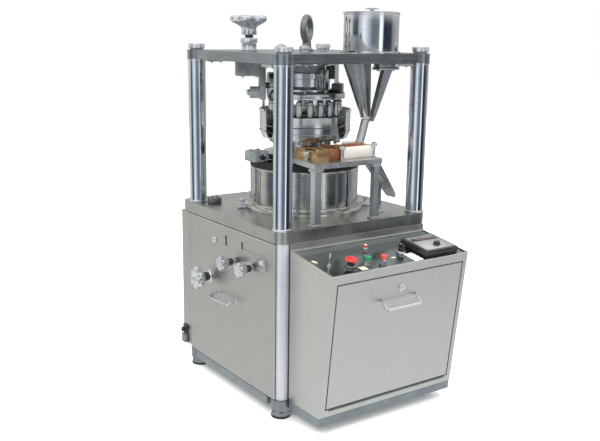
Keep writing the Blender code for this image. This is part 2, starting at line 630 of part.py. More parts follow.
def build_turret_surround(machine):
    """The skirt round the lower turret, the rear guard, and the upper and lower cams."""
    skirt = [
        (SKIRT_R - 0.012, DECK_TOP + GAP), (SKIRT_R + 0.022, DECK_TOP + GAP),
        (SKIRT_R + 0.022, DECK_TOP + 0.012), (SKIRT_R + 0.004, DECK_TOP + 0.016),
        (SKIRT_R + 0.004, DECK_TOP + 0.028), (SKIRT_R, DECK_TOP + 0.030),
        (SKIRT_R, SKIRT_TOP - 0.030), (SKIRT_R - 0.003, SKIRT_TOP - 0.030), (SKIRT_R - 0.003, SKIRT_TOP),
        (SKIRT_R - 0.012, SKIRT_TOP),
    ]
    add("turret_skirt", lathe(skirt, 32), chrome("turret_skirt"), machine)
    start = math.radians(-62)
    sweep = math.radians(240)
    section = ((GUARD_R - 0.012, GUARD_LOW), (GUARD_R, GUARD_LOW + 0.028), (GUARD_R, GUARD_HIGH),
               (GUARD_R + SHEET, GUARD_HIGH), (GUARD_R + SHEET, GUARD_LOW + 0.027),
               (GUARD_R - 0.009, GUARD_LOW - 0.001))
    rings = []
    for index in range(21):
        angle = start + sweep * index / 20
        across = (math.cos(angle), math.sin(angle))
        rings.append([(reach * across[0], reach * across[1], height) for reach, height in section])
    guard = add("turret_guard", loft(rings), steel("turret_guard"), machine)
    for turn in (math.radians(10), math.radians(80), math.radians(125)):
        strap = block((GUARD_R + 0.0005, -0.012, GUARD_HIGH - 0.020), (GUARD_R + SHEET - 0.0005, 0.012,
                                                                       PLATE_LOW - GAP))
        combine(guard, strap, "UNION", (0.0, 0.0, 0.0), (0.0, 0.0, turn))
    track_r = PUNCH_CIRCLE_R + 0.020
    bore = SHAFT_R + RUNNING_GAP
    cam = [
        (bore, CAM_LOW + 0.014), (PUNCH_CIRCLE_R - 0.017, CAM_LOW + 0.014), (PUNCH_CIRCLE_R - 0.017, CAM_LOW),
        (track_r, CAM_LOW), (track_r, CAM_LOW + 0.024), (0.082, CAM_LOW + 0.028), (0.082, PLATE_LOW - 0.020),
        (0.100, PLATE_LOW - 0.018), (0.100, PLATE_LOW - GAP), (bore, PLATE_LOW - GAP),
    ]
    upper = add("upper_cam", lathe(cam, 24), cast("upper_cam"), machine)
    room = block((0.112, -0.060, CAM_LOW - 0.02), (0.190, 0.060, CAM_LOW + 0.05))
    combine(upper, room, "DIFFERENCE", (0.0, 0.0, 0.0), (0.0, 0.0, STATION_ANGLE))
    cam_low = [
        (0.120, DECK_TOP + GAP), (0.172, DECK_TOP + GAP), (0.172, DECK_TOP + 0.012),
        (0.158, DECK_TOP + 0.014),
        (0.158, LOWER_PUNCH_LOW - 0.006), (0.126, LOWER_PUNCH_LOW - 0.006), (0.126, DECK_TOP + 0.014),
        (0.120, DECK_TOP + 0.012),
    ]
    lower = add("lower_cam", lathe(cam_low, 24), cast("lower_cam"), machine)
    room = block((0.100, -0.052, DECK_TOP + 0.008), (0.190, 0.052, LOWER_PUNCH_LOW + 0.01))
    combine(lower, room, "DIFFERENCE", (0.0, 0.0, 0.0), (0.0, 0.0, STATION_ANGLE))
    post = block((0.161, -0.020, DECK_TOP + 0.004), (0.171, 0.020, DECK_TOP + 0.080))
    combine(lower, post, "UNION", (0.0, 0.0, 0.0), (0.0, 0.0, STATION_ANGLE))
    pin = disc(PIN_R, PUNCH_CIRCLE_R - ROLLER_WIDE / 2 - 0.004, 0.165, 20, "X")
    height = LOWER_PUNCH_LOW - RUNNING_GAP - LOWER_ROLLER_R
    combine(lower, pin, "UNION", (0.0, 0.0, height), (0.0, 0.0, STATION_ANGLE))


def build_rollers(station):
    """The upper and lower pressure rollers on their pins, and the bracket that hangs from the plate."""
    height = PUNCH_HEAD_TOP + RUNNING_GAP + ROLLER_R
    near = PUNCH_CIRCLE_R - ROLLER_WIDE / 2
    far = PUNCH_CIRCLE_R + ROLLER_WIDE / 2
    hub = PIN_R + GAP
    for name, radius, z in (("pressure_roller", ROLLER_R, height),
                            ("lower_roller", LOWER_ROLLER_R, LOWER_PUNCH_LOW - RUNNING_GAP - LOWER_ROLLER_R)):
        wheel = [(hub, near), (radius, near), (radius, far), (hub, far)]
        add(name, lathe(wheel, 28, "X"), chrome(name), station, (0.0, 0.0, z))
    cheek = block((0.170, -0.040, height - 0.056), (0.192, 0.040, PLATE_LOW - GAP), 0.003)
    bracket = add("roller_bracket", cheek, cast("roller_bracket"), station)
    arm = block((0.180, -0.034, PLATE_LOW - 0.062), (SCREW_REACH + 0.055, 0.034, PLATE_LOW - 2 * GAP), 0.003)
    combine(bracket, arm, "UNION")
    bolt = disc(PIN_R, near - 0.004, 0.176, 20, "X")
    combine(bracket, bolt, "UNION", (0.0, 0.0, height))
    knob = disc(0.024, 0.186, SCREW_REACH - 0.004, 20, "X")
    combine(bracket, knob, "UNION", (0.0, 0.0, height - 0.028))
    screw_bore = disc(PIN_R + GAP, PLATE_LOW - 0.030, PLATE_LOW + 0.01, 24)
    combine(bracket, screw_bore, "DIFFERENCE", (SCREW_REACH, 0.0, 0.0))


# ---------------------------------------------------------------- feed

def build_hopper(machine):
    """The hopper drum on the plate with its off-centre funnel below, and its lid."""
    floor = PLATE_TOP + GAP
    top = PLATE_TOP + DRUM_HIGH
    wall = 0.002
    drum = [
        (0.0, floor), (DRUM_R + 0.013, floor), (DRUM_R + 0.013, floor + 0.003), (DRUM_R, floor + 0.003),
        (DRUM_R, top - 0.004), (DRUM_R + 0.003, top - 0.002), (DRUM_R + 0.002, top), (DRUM_R - wall, top),
        (DRUM_R - wall, floor + 0.003), (0.0, floor + 0.003),
    ]
    hopper = add("hopper", lathe(drum, 28), chrome("hopper"), machine, (DRUM_X, DRUM_Y, 0.0))
    collar = FUNNEL_R + wall
    lip = floor + 0.0025
    bend = PLATE_LOW - 0.004
    outer = [circle(FUNNEL_X, FEED_Y, lip, collar), circle(FUNNEL_X, FEED_Y, bend, collar),
             circle(OUTLET_X, FEED_Y, OUTLET_Z, OUTLET_R + wall)]
    inner = [circle(OUTLET_X, FEED_Y, OUTLET_Z, OUTLET_R), circle(FUNNEL_X, FEED_Y, bend, FUNNEL_R),
             circle(FUNNEL_X, FEED_Y, lip, FUNNEL_R)]
    combine(hopper, loft(outer + inner, hollow=True), "UNION", (0.0, 0.0, 0.0))
    mouth = disc(FUNNEL_R, floor - 0.004, floor + 0.006)
    combine(hopper, mouth, "DIFFERENCE", (FUNNEL_X, FEED_Y, 0.0))
    lid = [
        (0.0, GAP), (DRUM_R - wall - 0.002, GAP), (DRUM_R + 0.005, GAP), (DRUM_R + 0.005, 0.003),
        (DRUM_R - 0.008, 0.006), (0.010, 0.009), (0.006, 0.011), (0.006, 0.014), (0.029, 0.016),
        (0.029, 0.020), (0.0, 0.020),
    ]
    add("hopper_lid", lathe(lid, 24), chrome("hopper_lid"), machine, (DRUM_X, DRUM_Y, top))


def build_feed(machine):
    """The chute with its arm, the feed box and frame, the table on its posts and the discharge chute."""
    top_x = OUTLET_X + 0.0005
    top_z = OUTLET_Z - 0.004
    pipe = loft([circle(CHUTE_LOW_X, FEED_Y, CHUTE_LOW_Z, CHUTE_R), circle(top_x, FEED_Y, top_z, CHUTE_R),
                 circle(top_x, FEED_Y, top_z, CHUTE_R - SHEET / 2),
                 circle(CHUTE_LOW_X, FEED_Y, CHUTE_LOW_Z, CHUTE_R - SHEET / 2)], hollow=True)
    add("feed_chute", pipe, chrome("feed_chute"), machine)
    foot_x = OUTLET_X + OUTLET_R + 0.0075
    strip = [(foot_x - 0.001, OUTLET_Z - 0.016), (foot_x + 0.010, OUTLET_Z - 0.016),
             (0.262, PLATE_LOW - 0.014),
             (0.262, PLATE_LOW - GAP), (0.216, PLATE_LOW - GAP), (0.216, PLATE_LOW - 0.014)]
    arm = add("chute_arm", prism(strip, FEED_Y - 0.012, FEED_Y + 0.012, "Y"), steel("chute_arm"), machine)
    lug_low = (0.180, FEED_Y - 0.020, PLATE_LOW - 0.018)
    lug_high = (0.285, FEED_Y + 0.020, PLATE_LOW - 1.5 * GAP)
    lug = block(lug_low, lug_high, 0.002)
    combine(arm, lug, "UNION")
    grip = block((foot_x - 0.0045, FEED_Y - 0.006, OUTLET_Z - 0.015), (foot_x + 0.003, FEED_Y + 0.006,
                                                                       OUTLET_Z - 0.008))
    combine(arm, grip, "UNION")
    base = TABLE_TOP + GAP
    right = CHUTE_LOW_X + CHUTE_R + 0.016
    near = FEED_Y - 0.060
    far = FEED_Y + CHUTE_R + 0.010
    box = add("feed_box", block((-0.023, near, base), (right, far, base + 0.048), 0.002),
              finish("feed_box", (0.80, 0.79, 0.76), 0.0, 0.30), machine)
    wall = 0.004
    inside_low = (-0.023 + wall, near + wall, base + wall)
    inside_high = (right - wall, far - wall, base + 0.06)
    combine(box, block(inside_low, inside_high), "DIFFERENCE")
    casting = [(-0.150, -0.292), (-0.0235, -0.292), (-0.0235, -0.105), (-0.100, -0.085), (-0.150, -0.150)]
    bronze = finish("feed_frame", (0.45, 0.27, 0.12), 0.9, 0.38)
    brass = add("feed_frame", prism(casting, base, FRAME_TOP), bronze, machine)
    for x in (-0.138, -0.098, -0.060):
        combine(brass, block((x, -0.280, 1.006), (x + 0.030, -0.165, 1.05)), "DIFFERENCE")
    front = -HALF - 0.0295
    outline = [(TABLE_LEFT, front), (TABLE_RIGHT - 0.018, front), (TABLE_RIGHT, front + 0.015),
               (TABLE_RIGHT, -0.090), (-0.165, -0.090)]
    top = prism(outline, TABLE_TOP - TABLE_THICK, TABLE_TOP)
    table = add("feed_table", top, steel("feed_table"), machine)
    combine(table, disc(DIE_TABLE_R + 0.002, TABLE_TOP - 0.04, TABLE_TOP + 0.02, 48), "DIFFERENCE")
    for low_x, wide in ((-0.200, 0.030), (0.090, 0.024)):
        post = block((low_x, front + 0.005, DECK_TOP + GAP), (low_x + wide, front + 0.005 + wide,
                                                              TABLE_TOP - TABLE_THICK + 0.004))
        combine(table, post, "UNION")
    build_discharge(machine)


def build_discharge(machine):
    """A folded sheet trough that carries the tablets down to the right."""
    near = -0.285
    far = -0.225
    start_x = TABLE_RIGHT + 0.004
    start_z = 0.950
    end_x = 0.268
    end_z = 0.806
    deep = 0.034
    side = [(start_x, start_z), (start_x, start_z + deep), (start_x + 0.02, start_z + deep),
            (end_x, end_z + deep * 0.6), (end_x, end_z)]
    trough = add("discharge_chute", prism(side, near, far, "Y"), steel("discharge_chute"), machine)
    fall = (start_z - end_z) / (end_x - start_x)
    hollow = [(start_x - 0.01, start_z + 0.0135), (start_x - 0.01, start_z + 0.08),
              (end_x + 0.01, end_z + 0.08), (end_x + 0.01, end_z + 0.0015 - 0.01 * fall)]
    combine(trough, prism(hollow, near + 0.002, far - 0.002, "Y"), "DIFFERENCE")
    leg = block((0.196, near + 0.020, DECK_TOP + GAP), (0.206, near + 0.040, 0.885))
    combine(trough, leg, "UNION")


# ---------------------------------------------------------------- drive

def belt_outline(big, small, drop, steps=18):
    """The loop round a big pulley at zero and a small one below it, in (y, z)."""
    tilt = math.asin((big - small) / drop)
    points = []
    for index in range(steps + 1):
        angle = -tilt + (math.pi + 2 * tilt) * index / steps
        points.append((big * math.cos(angle), big * math.sin(angle)))
    for index in range(steps + 1):
        angle = math.pi + tilt + (math.pi - 2 * tilt) * index / steps
        points.append((small * math.cos(angle), -drop + small * math.sin(angle)))
    return points


def build_drive(machine):
    """The motor, its belt and pulleys, the worm gearbox and the shaft with its outside handwheel."""
    half = PULLEY_WIDE / 2
    case_low = (-GEARBOX_HALF, -0.110, SHAFT_Z - 0.060)
    case_high = (GEARBOX_HALF, SHAFT_Y + 0.070, DECK_TOP - DECK_SKIN - GAP)
    case = block(case_low, case_high, 0.006)
    gearbox = add("gearbox", case, cast("gearbox"), machine)
    combine(gearbox, disc(SHAFT_R + RUNNING_GAP, 0.490, 0.800, 32), "DIFFERENCE")
    combine(gearbox, disc(WORM_R + RUNNING_GAP, -0.20, 0.20, 24, "X"), "DIFFERENCE", (0.0, SHAFT_Y, SHAFT_Z))
    inner_end = -SIDE + SHEET + 0.012
    hub = PULLEY_X - half - 0.012
    shaft = [(0.0, inner_end), (WORM_R, inner_end), (WORM_R, hub), (0.030, hub), (0.030, PULLEY_X - half),
             (BIG_PULLEY_R, PULLEY_X - half), (BIG_PULLEY_R, PULLEY_X + half), (0.0, PULLEY_X + half)]
    add("worm_pulley", lathe(shaft, 36, "X"), cast("worm_pulley"), machine, (0.0, SHAFT_Y, SHAFT_Z))
    wheel = star_knob(WORM_R * 0.75, WHEEL_REACH, 0.050, 0.024, SHEET + 0.012 - GAP)
    add("drive_handwheel", wheel, chrome("drive_handwheel"), machine, (-SIDE, SHAFT_Y, SHAFT_Z), TO_LEFT)
    body = disc(MOTOR_R, -0.080, 0.160, 32, "X")
    motor = add("motor", body, cast("motor"), machine, (0.0, SHAFT_Y, MOTOR_Z))
    feet = block((-0.060, -0.085, PLINTH_HIGH + GAP - MOTOR_Z), (0.140, 0.085, -0.050))
    combine(motor, feet, "UNION")
    combine(motor, disc(0.011 + GAP, 0.120, 0.200, 20, "X"), "DIFFERENCE")
    stub = [(0.0, 0.125), (0.011, 0.125), (0.011, PULLEY_X - half), (SMALL_PULLEY_R, PULLEY_X - half),
            (SMALL_PULLEY_R, PULLEY_X + half), (0.0, PULLEY_X + half)]
    add("motor_pulley", lathe(stub, 28, "X"), cast("motor_pulley"), machine, (0.0, SHAFT_Y, MOTOR_Z))
    drop = SHAFT_Z - MOTOR_Z
    slack = 2 * GAP
    wide = half - 0.004
    outside = belt_outline(BIG_PULLEY_R + slack + BELT_THICK, SMALL_PULLEY_R + slack + BELT_THICK, drop)
    inside = belt_outline(BIG_PULLEY_R + slack, SMALL_PULLEY_R + slack, drop)
    rings = []
    for outline, x in ((outside, -wide), (outside, wide), (inside, wide), (inside, -wide)):
        rings.append([(PULLEY_X + x, y, z) for y, z in outline])
    add("drive_belt", loft(rings, hollow=True), finish("drive_belt", (0.02, 0.02, 0.02), 0.0, 0.7), machine,
        (0.0, SHAFT_Y, SHAFT_Z))


# ---------------------------------------------------------------- assembly

def centre_on_floor(machine):
    """Move the whole machine so that the middle of its footprint stands on the origin."""
    bpy.context.view_layer.update()
    graph = bpy.context.evaluated_depsgraph_get()
    points = []
    for item in bpy.data.objects:
        if item.type == "EMPTY" or item.hide_render:
            continue
        solid = item.evaluated_get(graph)
        points += [solid.matrix_world @ vert.co for vert in solid.to_mesh().vertices]
        solid.to_mesh_clear()
    for axis in (0, 1):
        values = [point[axis] for point in points]
        machine.location[axis] = -(min(values) + max(values)) / 2
    bpy.context.view_layer.update()
    print("turret axis at", tuple(round(value, 6) for value in machine.location))


clear_scene()
MACHINE = empty("machine")
STATION = empty("pressure_station", MACHINE, (0.0, 0.0, 0.0), (0.0, 0.0, STATION_ANGLE))
build_base(MACHINE)
build_pillars(MACHINE)
build_plates(MACHINE)
build_cabinet(MACHINE)
build_side_controls(MACHINE)
build_console(MACHINE)
build_controls(MACHINE)
build_door(MACHINE)
build_top_fittings(MACHINE, STATION)
build_turret(MACHINE)
build_turret_surround(MACHINE)
build_rollers(STATION)
build_hopper(MACHINE)
build_feed(MACHINE)
build_drive(MACHINE)
centre_on_floor(MACHINE)
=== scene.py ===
import math

import bmesh
import bpy
from mathutils import Matrix, Vector


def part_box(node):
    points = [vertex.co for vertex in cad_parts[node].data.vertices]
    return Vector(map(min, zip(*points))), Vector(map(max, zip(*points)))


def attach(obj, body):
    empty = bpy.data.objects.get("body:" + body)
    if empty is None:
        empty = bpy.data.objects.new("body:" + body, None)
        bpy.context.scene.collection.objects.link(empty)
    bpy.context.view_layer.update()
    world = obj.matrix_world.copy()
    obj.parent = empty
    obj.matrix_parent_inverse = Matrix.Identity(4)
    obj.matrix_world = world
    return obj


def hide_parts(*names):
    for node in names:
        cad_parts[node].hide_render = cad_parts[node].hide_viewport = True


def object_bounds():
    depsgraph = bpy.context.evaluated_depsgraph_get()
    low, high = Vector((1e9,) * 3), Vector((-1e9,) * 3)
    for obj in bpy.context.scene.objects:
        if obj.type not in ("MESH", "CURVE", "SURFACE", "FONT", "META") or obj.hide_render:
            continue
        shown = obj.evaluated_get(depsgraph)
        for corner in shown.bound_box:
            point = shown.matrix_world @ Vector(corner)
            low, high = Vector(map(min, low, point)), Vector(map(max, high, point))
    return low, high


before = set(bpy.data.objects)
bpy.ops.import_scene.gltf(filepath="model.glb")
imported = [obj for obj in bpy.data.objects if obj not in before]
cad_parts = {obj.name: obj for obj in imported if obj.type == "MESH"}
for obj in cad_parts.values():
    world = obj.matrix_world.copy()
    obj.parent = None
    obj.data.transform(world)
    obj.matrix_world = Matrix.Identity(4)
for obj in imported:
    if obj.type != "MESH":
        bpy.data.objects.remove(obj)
cad_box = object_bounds()

# ---------------------------------------------------------------- the studio
# A pale floor in a pale room, with soft lamps overhead and to both sides. The room that the polished
# metal mirrors has a light wall, a dark doorway and a bright strip, which give steel its upright bands.

turret_low, turret_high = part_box("turret")
AXIS = Vector(((turret_low.x + turret_high.x) / 2, (turret_low.y + turret_high.y) / 2, 0.0))


def light_of(code, strength=1.0):
    """An sRGB hex value as linear light, times a strength."""
    parts = [int(code[start:start + 2], 16) / 255 for start in (0, 2, 4)]
    linear = [part / 12.92 if part <= 0.04045 else ((part + 0.055) / 1.055) ** 2.4 for part in parts]
    return tuple(part * strength for part in linear) + (1.0,)


def lay(tree, kind, links=None, **settings):
    """Adds a node with its settings, its fixed inputs and its links. A linked node gives its first output."""
    node = tree.nodes.new(kind)
    for name, value in settings.items():
        setattr(node, name, value)
    for socket, value in (links or {}).items():
        if isinstance(value, bpy.types.Node):
            value = value.outputs[0]
        if isinstance(value, bpy.types.NodeSocket):
            tree.links.new(value, node.inputs[socket])
        else:
            node.inputs[socket].default_value = value
    return node


def fill_ramp(node, stops):
    """Gives a colour ramp its stops: (place, colour)."""
    ramp = node.color_ramp
    while len(ramp.elements) > 1:
        ramp.elements.remove(ramp.elements[-1])
    ramp.elements[0].position, ramp.elements[0].color = stops[0]
    for place, colour in stops[1:]:
        ramp.elements.new(place).color = colour


room = bpy.data.worlds.new("pale_room")
bpy.context.scene.world = room
room.use_nodes = True
tree = room.node_tree
tree.nodes.clear()
toward = lay(tree, "ShaderNodeTexCoord").outputs["Generated"]
parts = lay(tree, "ShaderNodeSeparateXYZ", {0: toward})
ahead = lay(tree, "ShaderNodeMath", {0: parts.outputs["Y"], 1: -1.0}, operation="MULTIPLY")
turn = lay(tree, "ShaderNodeMath", {0: parts.outputs["X"], 1: ahead}, operation="ARCTAN2")
round_room = lay(tree, "ShaderNodeMapRange", {"Value": turn, "From Min": -math.pi,
                                             "From Max": math.pi})
# Angles go round the room in degrees, 0 in front of the machine's door and 90 to its right.
LOW_WALL = (
    (-180, (0.62, 0.62, 0.60)), (-150, (0.84, 0.84, 0.81)), (-128, (0.72, 0.72, 0.70)),
    (-118, (0.10, 0.12, 0.16)), (-99, (0.06, 0.08, 0.12)), (-90, (0.50, 0.55, 0.63)),
    (-68, (1.10, 1.15, 1.25)), (-50, (0.52, 0.57, 0.64)), (-34, (0.15, 0.19, 0.24)),
    (-7, (0.20, 0.24, 0.29)), (-3, (1.40, 1.42, 1.45)), (8, (1.30, 1.32, 1.35)), (13, (0.02, 0.03, 0.05)),
    (50, (0.04, 0.05, 0.08)), (64, (0.30, 0.32, 0.34)), (104, (0.50, 0.50, 0.48)),
    (145, (0.30, 0.31, 0.31)), (180, (0.62, 0.62, 0.60)),
)
HIGH_WALL = (
    (-180, (0.76, 0.76, 0.74)), (-120, (0.80, 0.80, 0.77)), (-100, (0.40, 0.42, 0.44)),
    (-60, (1.15, 1.16, 1.18)), (-20, (0.55, 0.58, 0.62)), (0, (1.05, 1.05, 1.05)), (16, (0.55, 0.56, 0.58)),
    (34, (0.74, 0.74, 0.72)), (60, (0.80, 0.80, 0.78)), (110, (0.45, 0.46, 0.47)), (180, (0.76, 0.76, 0.74)),
)
FLOOR_TONE = (0.94, 0.95, 0.96, 1.0)
CEILING_TONE = (1.15, 1.15, 1.15, 1.0)


def climb(low, high):
    """A share that rises from 0 to 1 between two heights of the direction looked in."""
    return lay(tree, "ShaderNodeMapRange", {"Value": parts.outputs["Z"], "From Min": low, "From Max": high},
               interpolation_type="SMOOTHSTEP").outputs[0]


def wall_of(stops):
    """A wall tone that changes round the room."""
    wall = lay(tree, "ShaderNodeValToRGB", {0: round_room})
    fill_ramp(wall, [((angle + 180) / 360, colour + (1.0,)) for angle, colour in stops])
    return wall.outputs[0]


mirrored = FLOOR_TONE
for tone, low, high in ((wall_of(LOW_WALL), -0.37, -0.28), (wall_of(HIGH_WALL), -0.06, 0.08),
                        (CEILING_TONE, 0.35, 0.70)):
    mirrored = lay(tree, "ShaderNodeMix", {0: climb(low, high), 6: mirrored, 7: tone},
                   data_type="RGBA").outputs[2]
ray = lay(tree, "ShaderNodeLightPath")
seen = lay(tree, "ShaderNodeMix", {0: ray.outputs["Is Camera Ray"], 6: mirrored,
                                   7: (1.0, 1.0, 1.0, 1.0)}, data_type="RGBA")
backdrop = lay(tree, "ShaderNodeBackground", {"Color": seen.outputs[2], "Strength": 1.0})
lay(tree, "ShaderNodeOutputWorld", {"Surface": backdrop})

FLOOR_HALF = 9.0
paper = bpy.data.materials.new("painted_floor_matt")
paper.use_nodes = True
tree = paper.node_tree
# Matt floor paint: an even pale ground with faint roller marks 40 mm across, lit more brightly away
# from the machine so that it runs into the wall without a line.
spot = lay(tree, "ShaderNodeTexCoord").outputs["Object"]
marks = lay(tree, "ShaderNodeTexNoise", {"Vector": spot, "Scale": 25.0, "Detail": 3.0})
tone = lay(tree, "ShaderNodeMix", {0: marks, 6: light_of("F4F4F2"), 7: light_of("FAFAF8")},
           data_type="RGBA")
away = lay(tree, "ShaderNodeVectorMath", {0: spot, 1: AXIS}, operation="DISTANCE")
glow = lay(tree, "ShaderNodeMapRange", {"Value": away.outputs["Value"], "From Min": 0.5, "From Max": 3.0,
                                        "To Min": 0.10, "To Max": 0.60})
surface = tree.nodes["Principled BSDF"]
surface.inputs["Roughness"].default_value = 0.9
surface.inputs["Emission Color"].default_value = (1.0, 1.0, 1.0, 1.0)
tree.links.new(glow.outputs[0], surface.inputs["Emission Strength"])
tree.links.new(tone.outputs[2], surface.inputs["Base Color"])
shape = bmesh.new()
bmesh.ops.create_grid(shape, x_segments=8, y_segments=8, size=FLOOR_HALF)
mesh = bpy.data.meshes.new("floor")
shape.to_mesh(mesh)
shape.free()
mesh.materials.append(paper)
floor = bpy.data.objects.new("floor", mesh)
bpy.context.scene.collection.objects.link(floor)
floor.visible_glossy = False

LAMPS = (
    # name, place, side, watts, colour
    ("key_lamp", (-3.0, -2.2, 3.4), 2.4, 115.0, (1.0, 0.99, 0.97)),
    ("fill_lamp", (3.2, -2.6, 2.6), 2.6, 70.0, (0.95, 0.98, 1.0)),
    ("top_lamp", (0.3, 0.4, 3.6), 3.0, 95.0, (1.0, 1.0, 1.0)),
    ("rear_lamp", (-1.5, 3.4, 2.6), 2.4, 70.0, (1.0, 0.99, 0.96)),
)
for name, place, side, watts, tint in LAMPS:
    lamp = bpy.data.lights.new(name, "AREA")
    lamp.shape = "SQUARE"
    lamp.size = side
    lamp.energy = watts
    lamp.color = tint
    stand = bpy.data.objects.new(name, lamp)
    stand.location = place
    stand.rotation_euler = (AXIS + Vector((0.0, 0.0, 0.8)) - Vector(place)).to_track_quat("-Z",
                                                                                          "Y").to_euler()
    bpy.context.scene.collection.objects.link(stand)
    stand.visible_glossy = False

VIEW_TURN = math.radians(-34.98)
VIEW_RISE = math.radians(12.57)
VIEW_ROLL = math.radians(0.74)
VIEW_REACH = 3.664
lens = bpy.data.cameras.new("camera")
lens.lens = 50.76
lens.sensor_width = 36.0
level = Vector((math.cos(VIEW_TURN), math.sin(VIEW_TURN), 0.0))
back = Vector((math.sin(VIEW_TURN) * math.cos(VIEW_RISE), -math.cos(VIEW_TURN) * math.cos(VIEW_RISE),
               math.sin(VIEW_RISE)))
upward = back.cross(level)
across = level * math.cos(VIEW_ROLL) + upward * math.sin(VIEW_ROLL)
upright = upward * math.cos(VIEW_ROLL) - level * math.sin(VIEW_ROLL)
eye = AXIS + Vector((0.0, 0.0268, 0.6809)) + back * VIEW_REACH
camera = bpy.data.objects.new("camera", lens)
camera.matrix_world = Matrix((
    (across.x, upright.x, back.x, eye.x), (across.y, upright.y, back.y, eye.y),
    (across.z, upright.z, back.z, eye.z), (0.0, 0.0, 0.0, 1.0)))
bpy.context.scene.collection.objects.link(camera)
bpy.context.scene.camera = camera
bpy.context.scene.view_settings.view_transform = "Standard"

# ---------------------------------------------------------------- base frame and feet
# A welded plinth of steel plate under the cabinet, sprayed with grey machine enamel, on four zinc-plated
# levelling feet. A foot's collar holds the lower end of its pillar.


def smoothing():
    """A modifier group: joins a shell's loose triangles and shades it smooth up to its sharp edges."""
    group = bpy.data.node_groups.new("joined_and_smooth", "GeometryNodeTree")
    group.interface.new_socket("Geometry", in_out="INPUT", socket_type="NodeSocketGeometry")
    group.interface.new_socket("Geometry", in_out="OUTPUT", socket_type="NodeSocketGeometry")
    start = lay(group, "NodeGroupInput")
    joined = lay(group, "GeometryNodeMergeByDistance", {"Geometry": start, "Distance": 0.00001})
    smooth = lay(group, "GeometryNodeSetShadeSmooth", {"Geometry": joined, "Shade Smooth": True},
                 domain="FACE")
    angle = lay(group, "GeometryNodeInputMeshEdgeAngle")
    sharp = lay(group, "FunctionNodeCompare", {0: angle, 1: math.radians(32)},
                data_type="FLOAT", operation="GREATER_THAN")
    split = lay(group, "GeometryNodeSetShadeSmooth", {"Geometry": smooth,
                                                      "Selection": sharp, "Shade Smooth": False},
                domain="EDGE")
    lay(group, "NodeGroupOutput", {0: split})
    return group


SMOOTH = smoothing()


def dress(node, finish):
    """Gives a CAD node its finish, and smooth shading on its round faces."""
    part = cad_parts[node]
    part.data.materials.clear()
    part.data.materials.append(finish)
    part.modifiers.new("joined_and_smooth", "NODES").node_group = SMOOTH


def coated(name, face, hollow, rough, grain_mm, relief=0.15, worn=None, worn_share=0.5, gloss=0.0):
    """A sprayed, moulded or baked skin. face and hollow are its two tones, grain_mm the size of its
    orange peel or spark texture, and worn the tone that shows along rubbed edges."""
    material = bpy.data.materials.new(name)
    material.use_nodes = True
    tree = material.node_tree
    surface = tree.nodes["Principled BSDF"]
    place = lay(tree, "ShaderNodeTexCoord").outputs["Object"]
    peel = lay(tree, "ShaderNodeTexNoise", {"Vector": place, "Scale": 1000.0 / grain_mm, "Detail": 2.0})
    dust = lay(tree, "ShaderNodeTexNoise", {"Vector": place, "Scale": 11.0, "Detail": 5.0, "Roughness": 0.62})
    patch = lay(tree, "ShaderNodeMapRange", {"Value": dust, "From Min": 0.35, "From Max": 0.66})
    tone = lay(tree, "ShaderNodeMix", {0: patch, 6: light_of(hollow), 7: light_of(face)},
               data_type="RGBA")
    edge = lay(tree, "ShaderNodeBevel", {"Radius": 0.0012}, samples=4)
    colour = tone.outputs[2]
    if worn:
        flat = lay(tree, "ShaderNodeNewGeometry")
        turn = lay(tree, "ShaderNodeVectorMath", {0: edge, 1: flat.outputs["Normal"]},
                   operation="DOT_PRODUCT")
        rub = lay(tree, "ShaderNodeMapRange", {"Value": turn.outputs["Value"], "From Min": 0.985,
                                               "From Max": 0.90, "To Min": 0.0, "To Max": worn_share})
        broken = lay(tree, "ShaderNodeMath", {0: rub, 1: patch}, operation="MULTIPLY")
        colour = lay(tree, "ShaderNodeMix", {0: broken, 6: colour, 7: light_of(worn)},
                     data_type="RGBA").outputs[2]
    sheen = lay(tree, "ShaderNodeMapRange", {"Value": dust, "From Min": 0.3, "From Max": 0.7,
                                             "To Min": rough - 0.07, "To Max": rough + 0.09})
    bump = lay(tree, "ShaderNodeBump", {"Strength": relief, "Distance": 0.0004, "Height": peel,
                                        "Normal": edge})
    tree.links.new(colour, surface.inputs["Base Color"])
    tree.links.new(sheen.outputs[0], surface.inputs["Roughness"])
    tree.links.new(bump.outputs[0], surface.inputs["Normal"])
    surface.inputs["Coat Weight"].default_value = gloss
    surface.inputs["Coat Roughness"].default_value = 0.12
    return material


# Sprayed machine enamel: cool mid grey, half gloss, a fine orange peel, pale where edges are rubbed.
enamel = coated("grey_enamel_sprayed", "6E777B", "5C6569", 0.42, 4.0, 0.12, worn="9A9E9E", gloss=0.25)
dress("base_plinth", enamel)

# Cast iron under grey paint: coarse sand texture, dull, darker in broad random patches.
cast_iron = coated("grey_iron_sand_cast", "83898B", "5A6062", 0.55, 3.0, 0.45, worn="B5B8B8")
CORNERS = ("front_left", "front_right", "rear_left", "rear_right")


def piece(name, shape, finishes, body="frame", bend=34.0, at=Matrix()):
    """Makes a finished piece from a bmesh drawn about the turret's axis, and puts it on its CAD body."""
    shape.transform(at)
    bmesh.ops.translate(shape, verts=shape.verts, vec=AXIS)
    mesh = bpy.data.meshes.new(name)
    shape.to_mesh(mesh)
    shape.free()
    for finish in finishes if isinstance(finishes, (list, tuple)) else (finishes,):
        mesh.materials.append(finish)
    mesh.polygons.foreach_set("use_smooth", [True] * len(mesh.polygons))
    mesh.set_sharp_from_angle(angle=math.radians(bend))
    made = bpy.data.objects.new(name, mesh)
    bpy.context.scene.collection.objects.link(made)
    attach(made, body)
    return made


def middle(node):
    """A CAD node's middle, measured from the turret's axis."""
    low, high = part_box(node)
    return (low + high) / 2 - AXIS


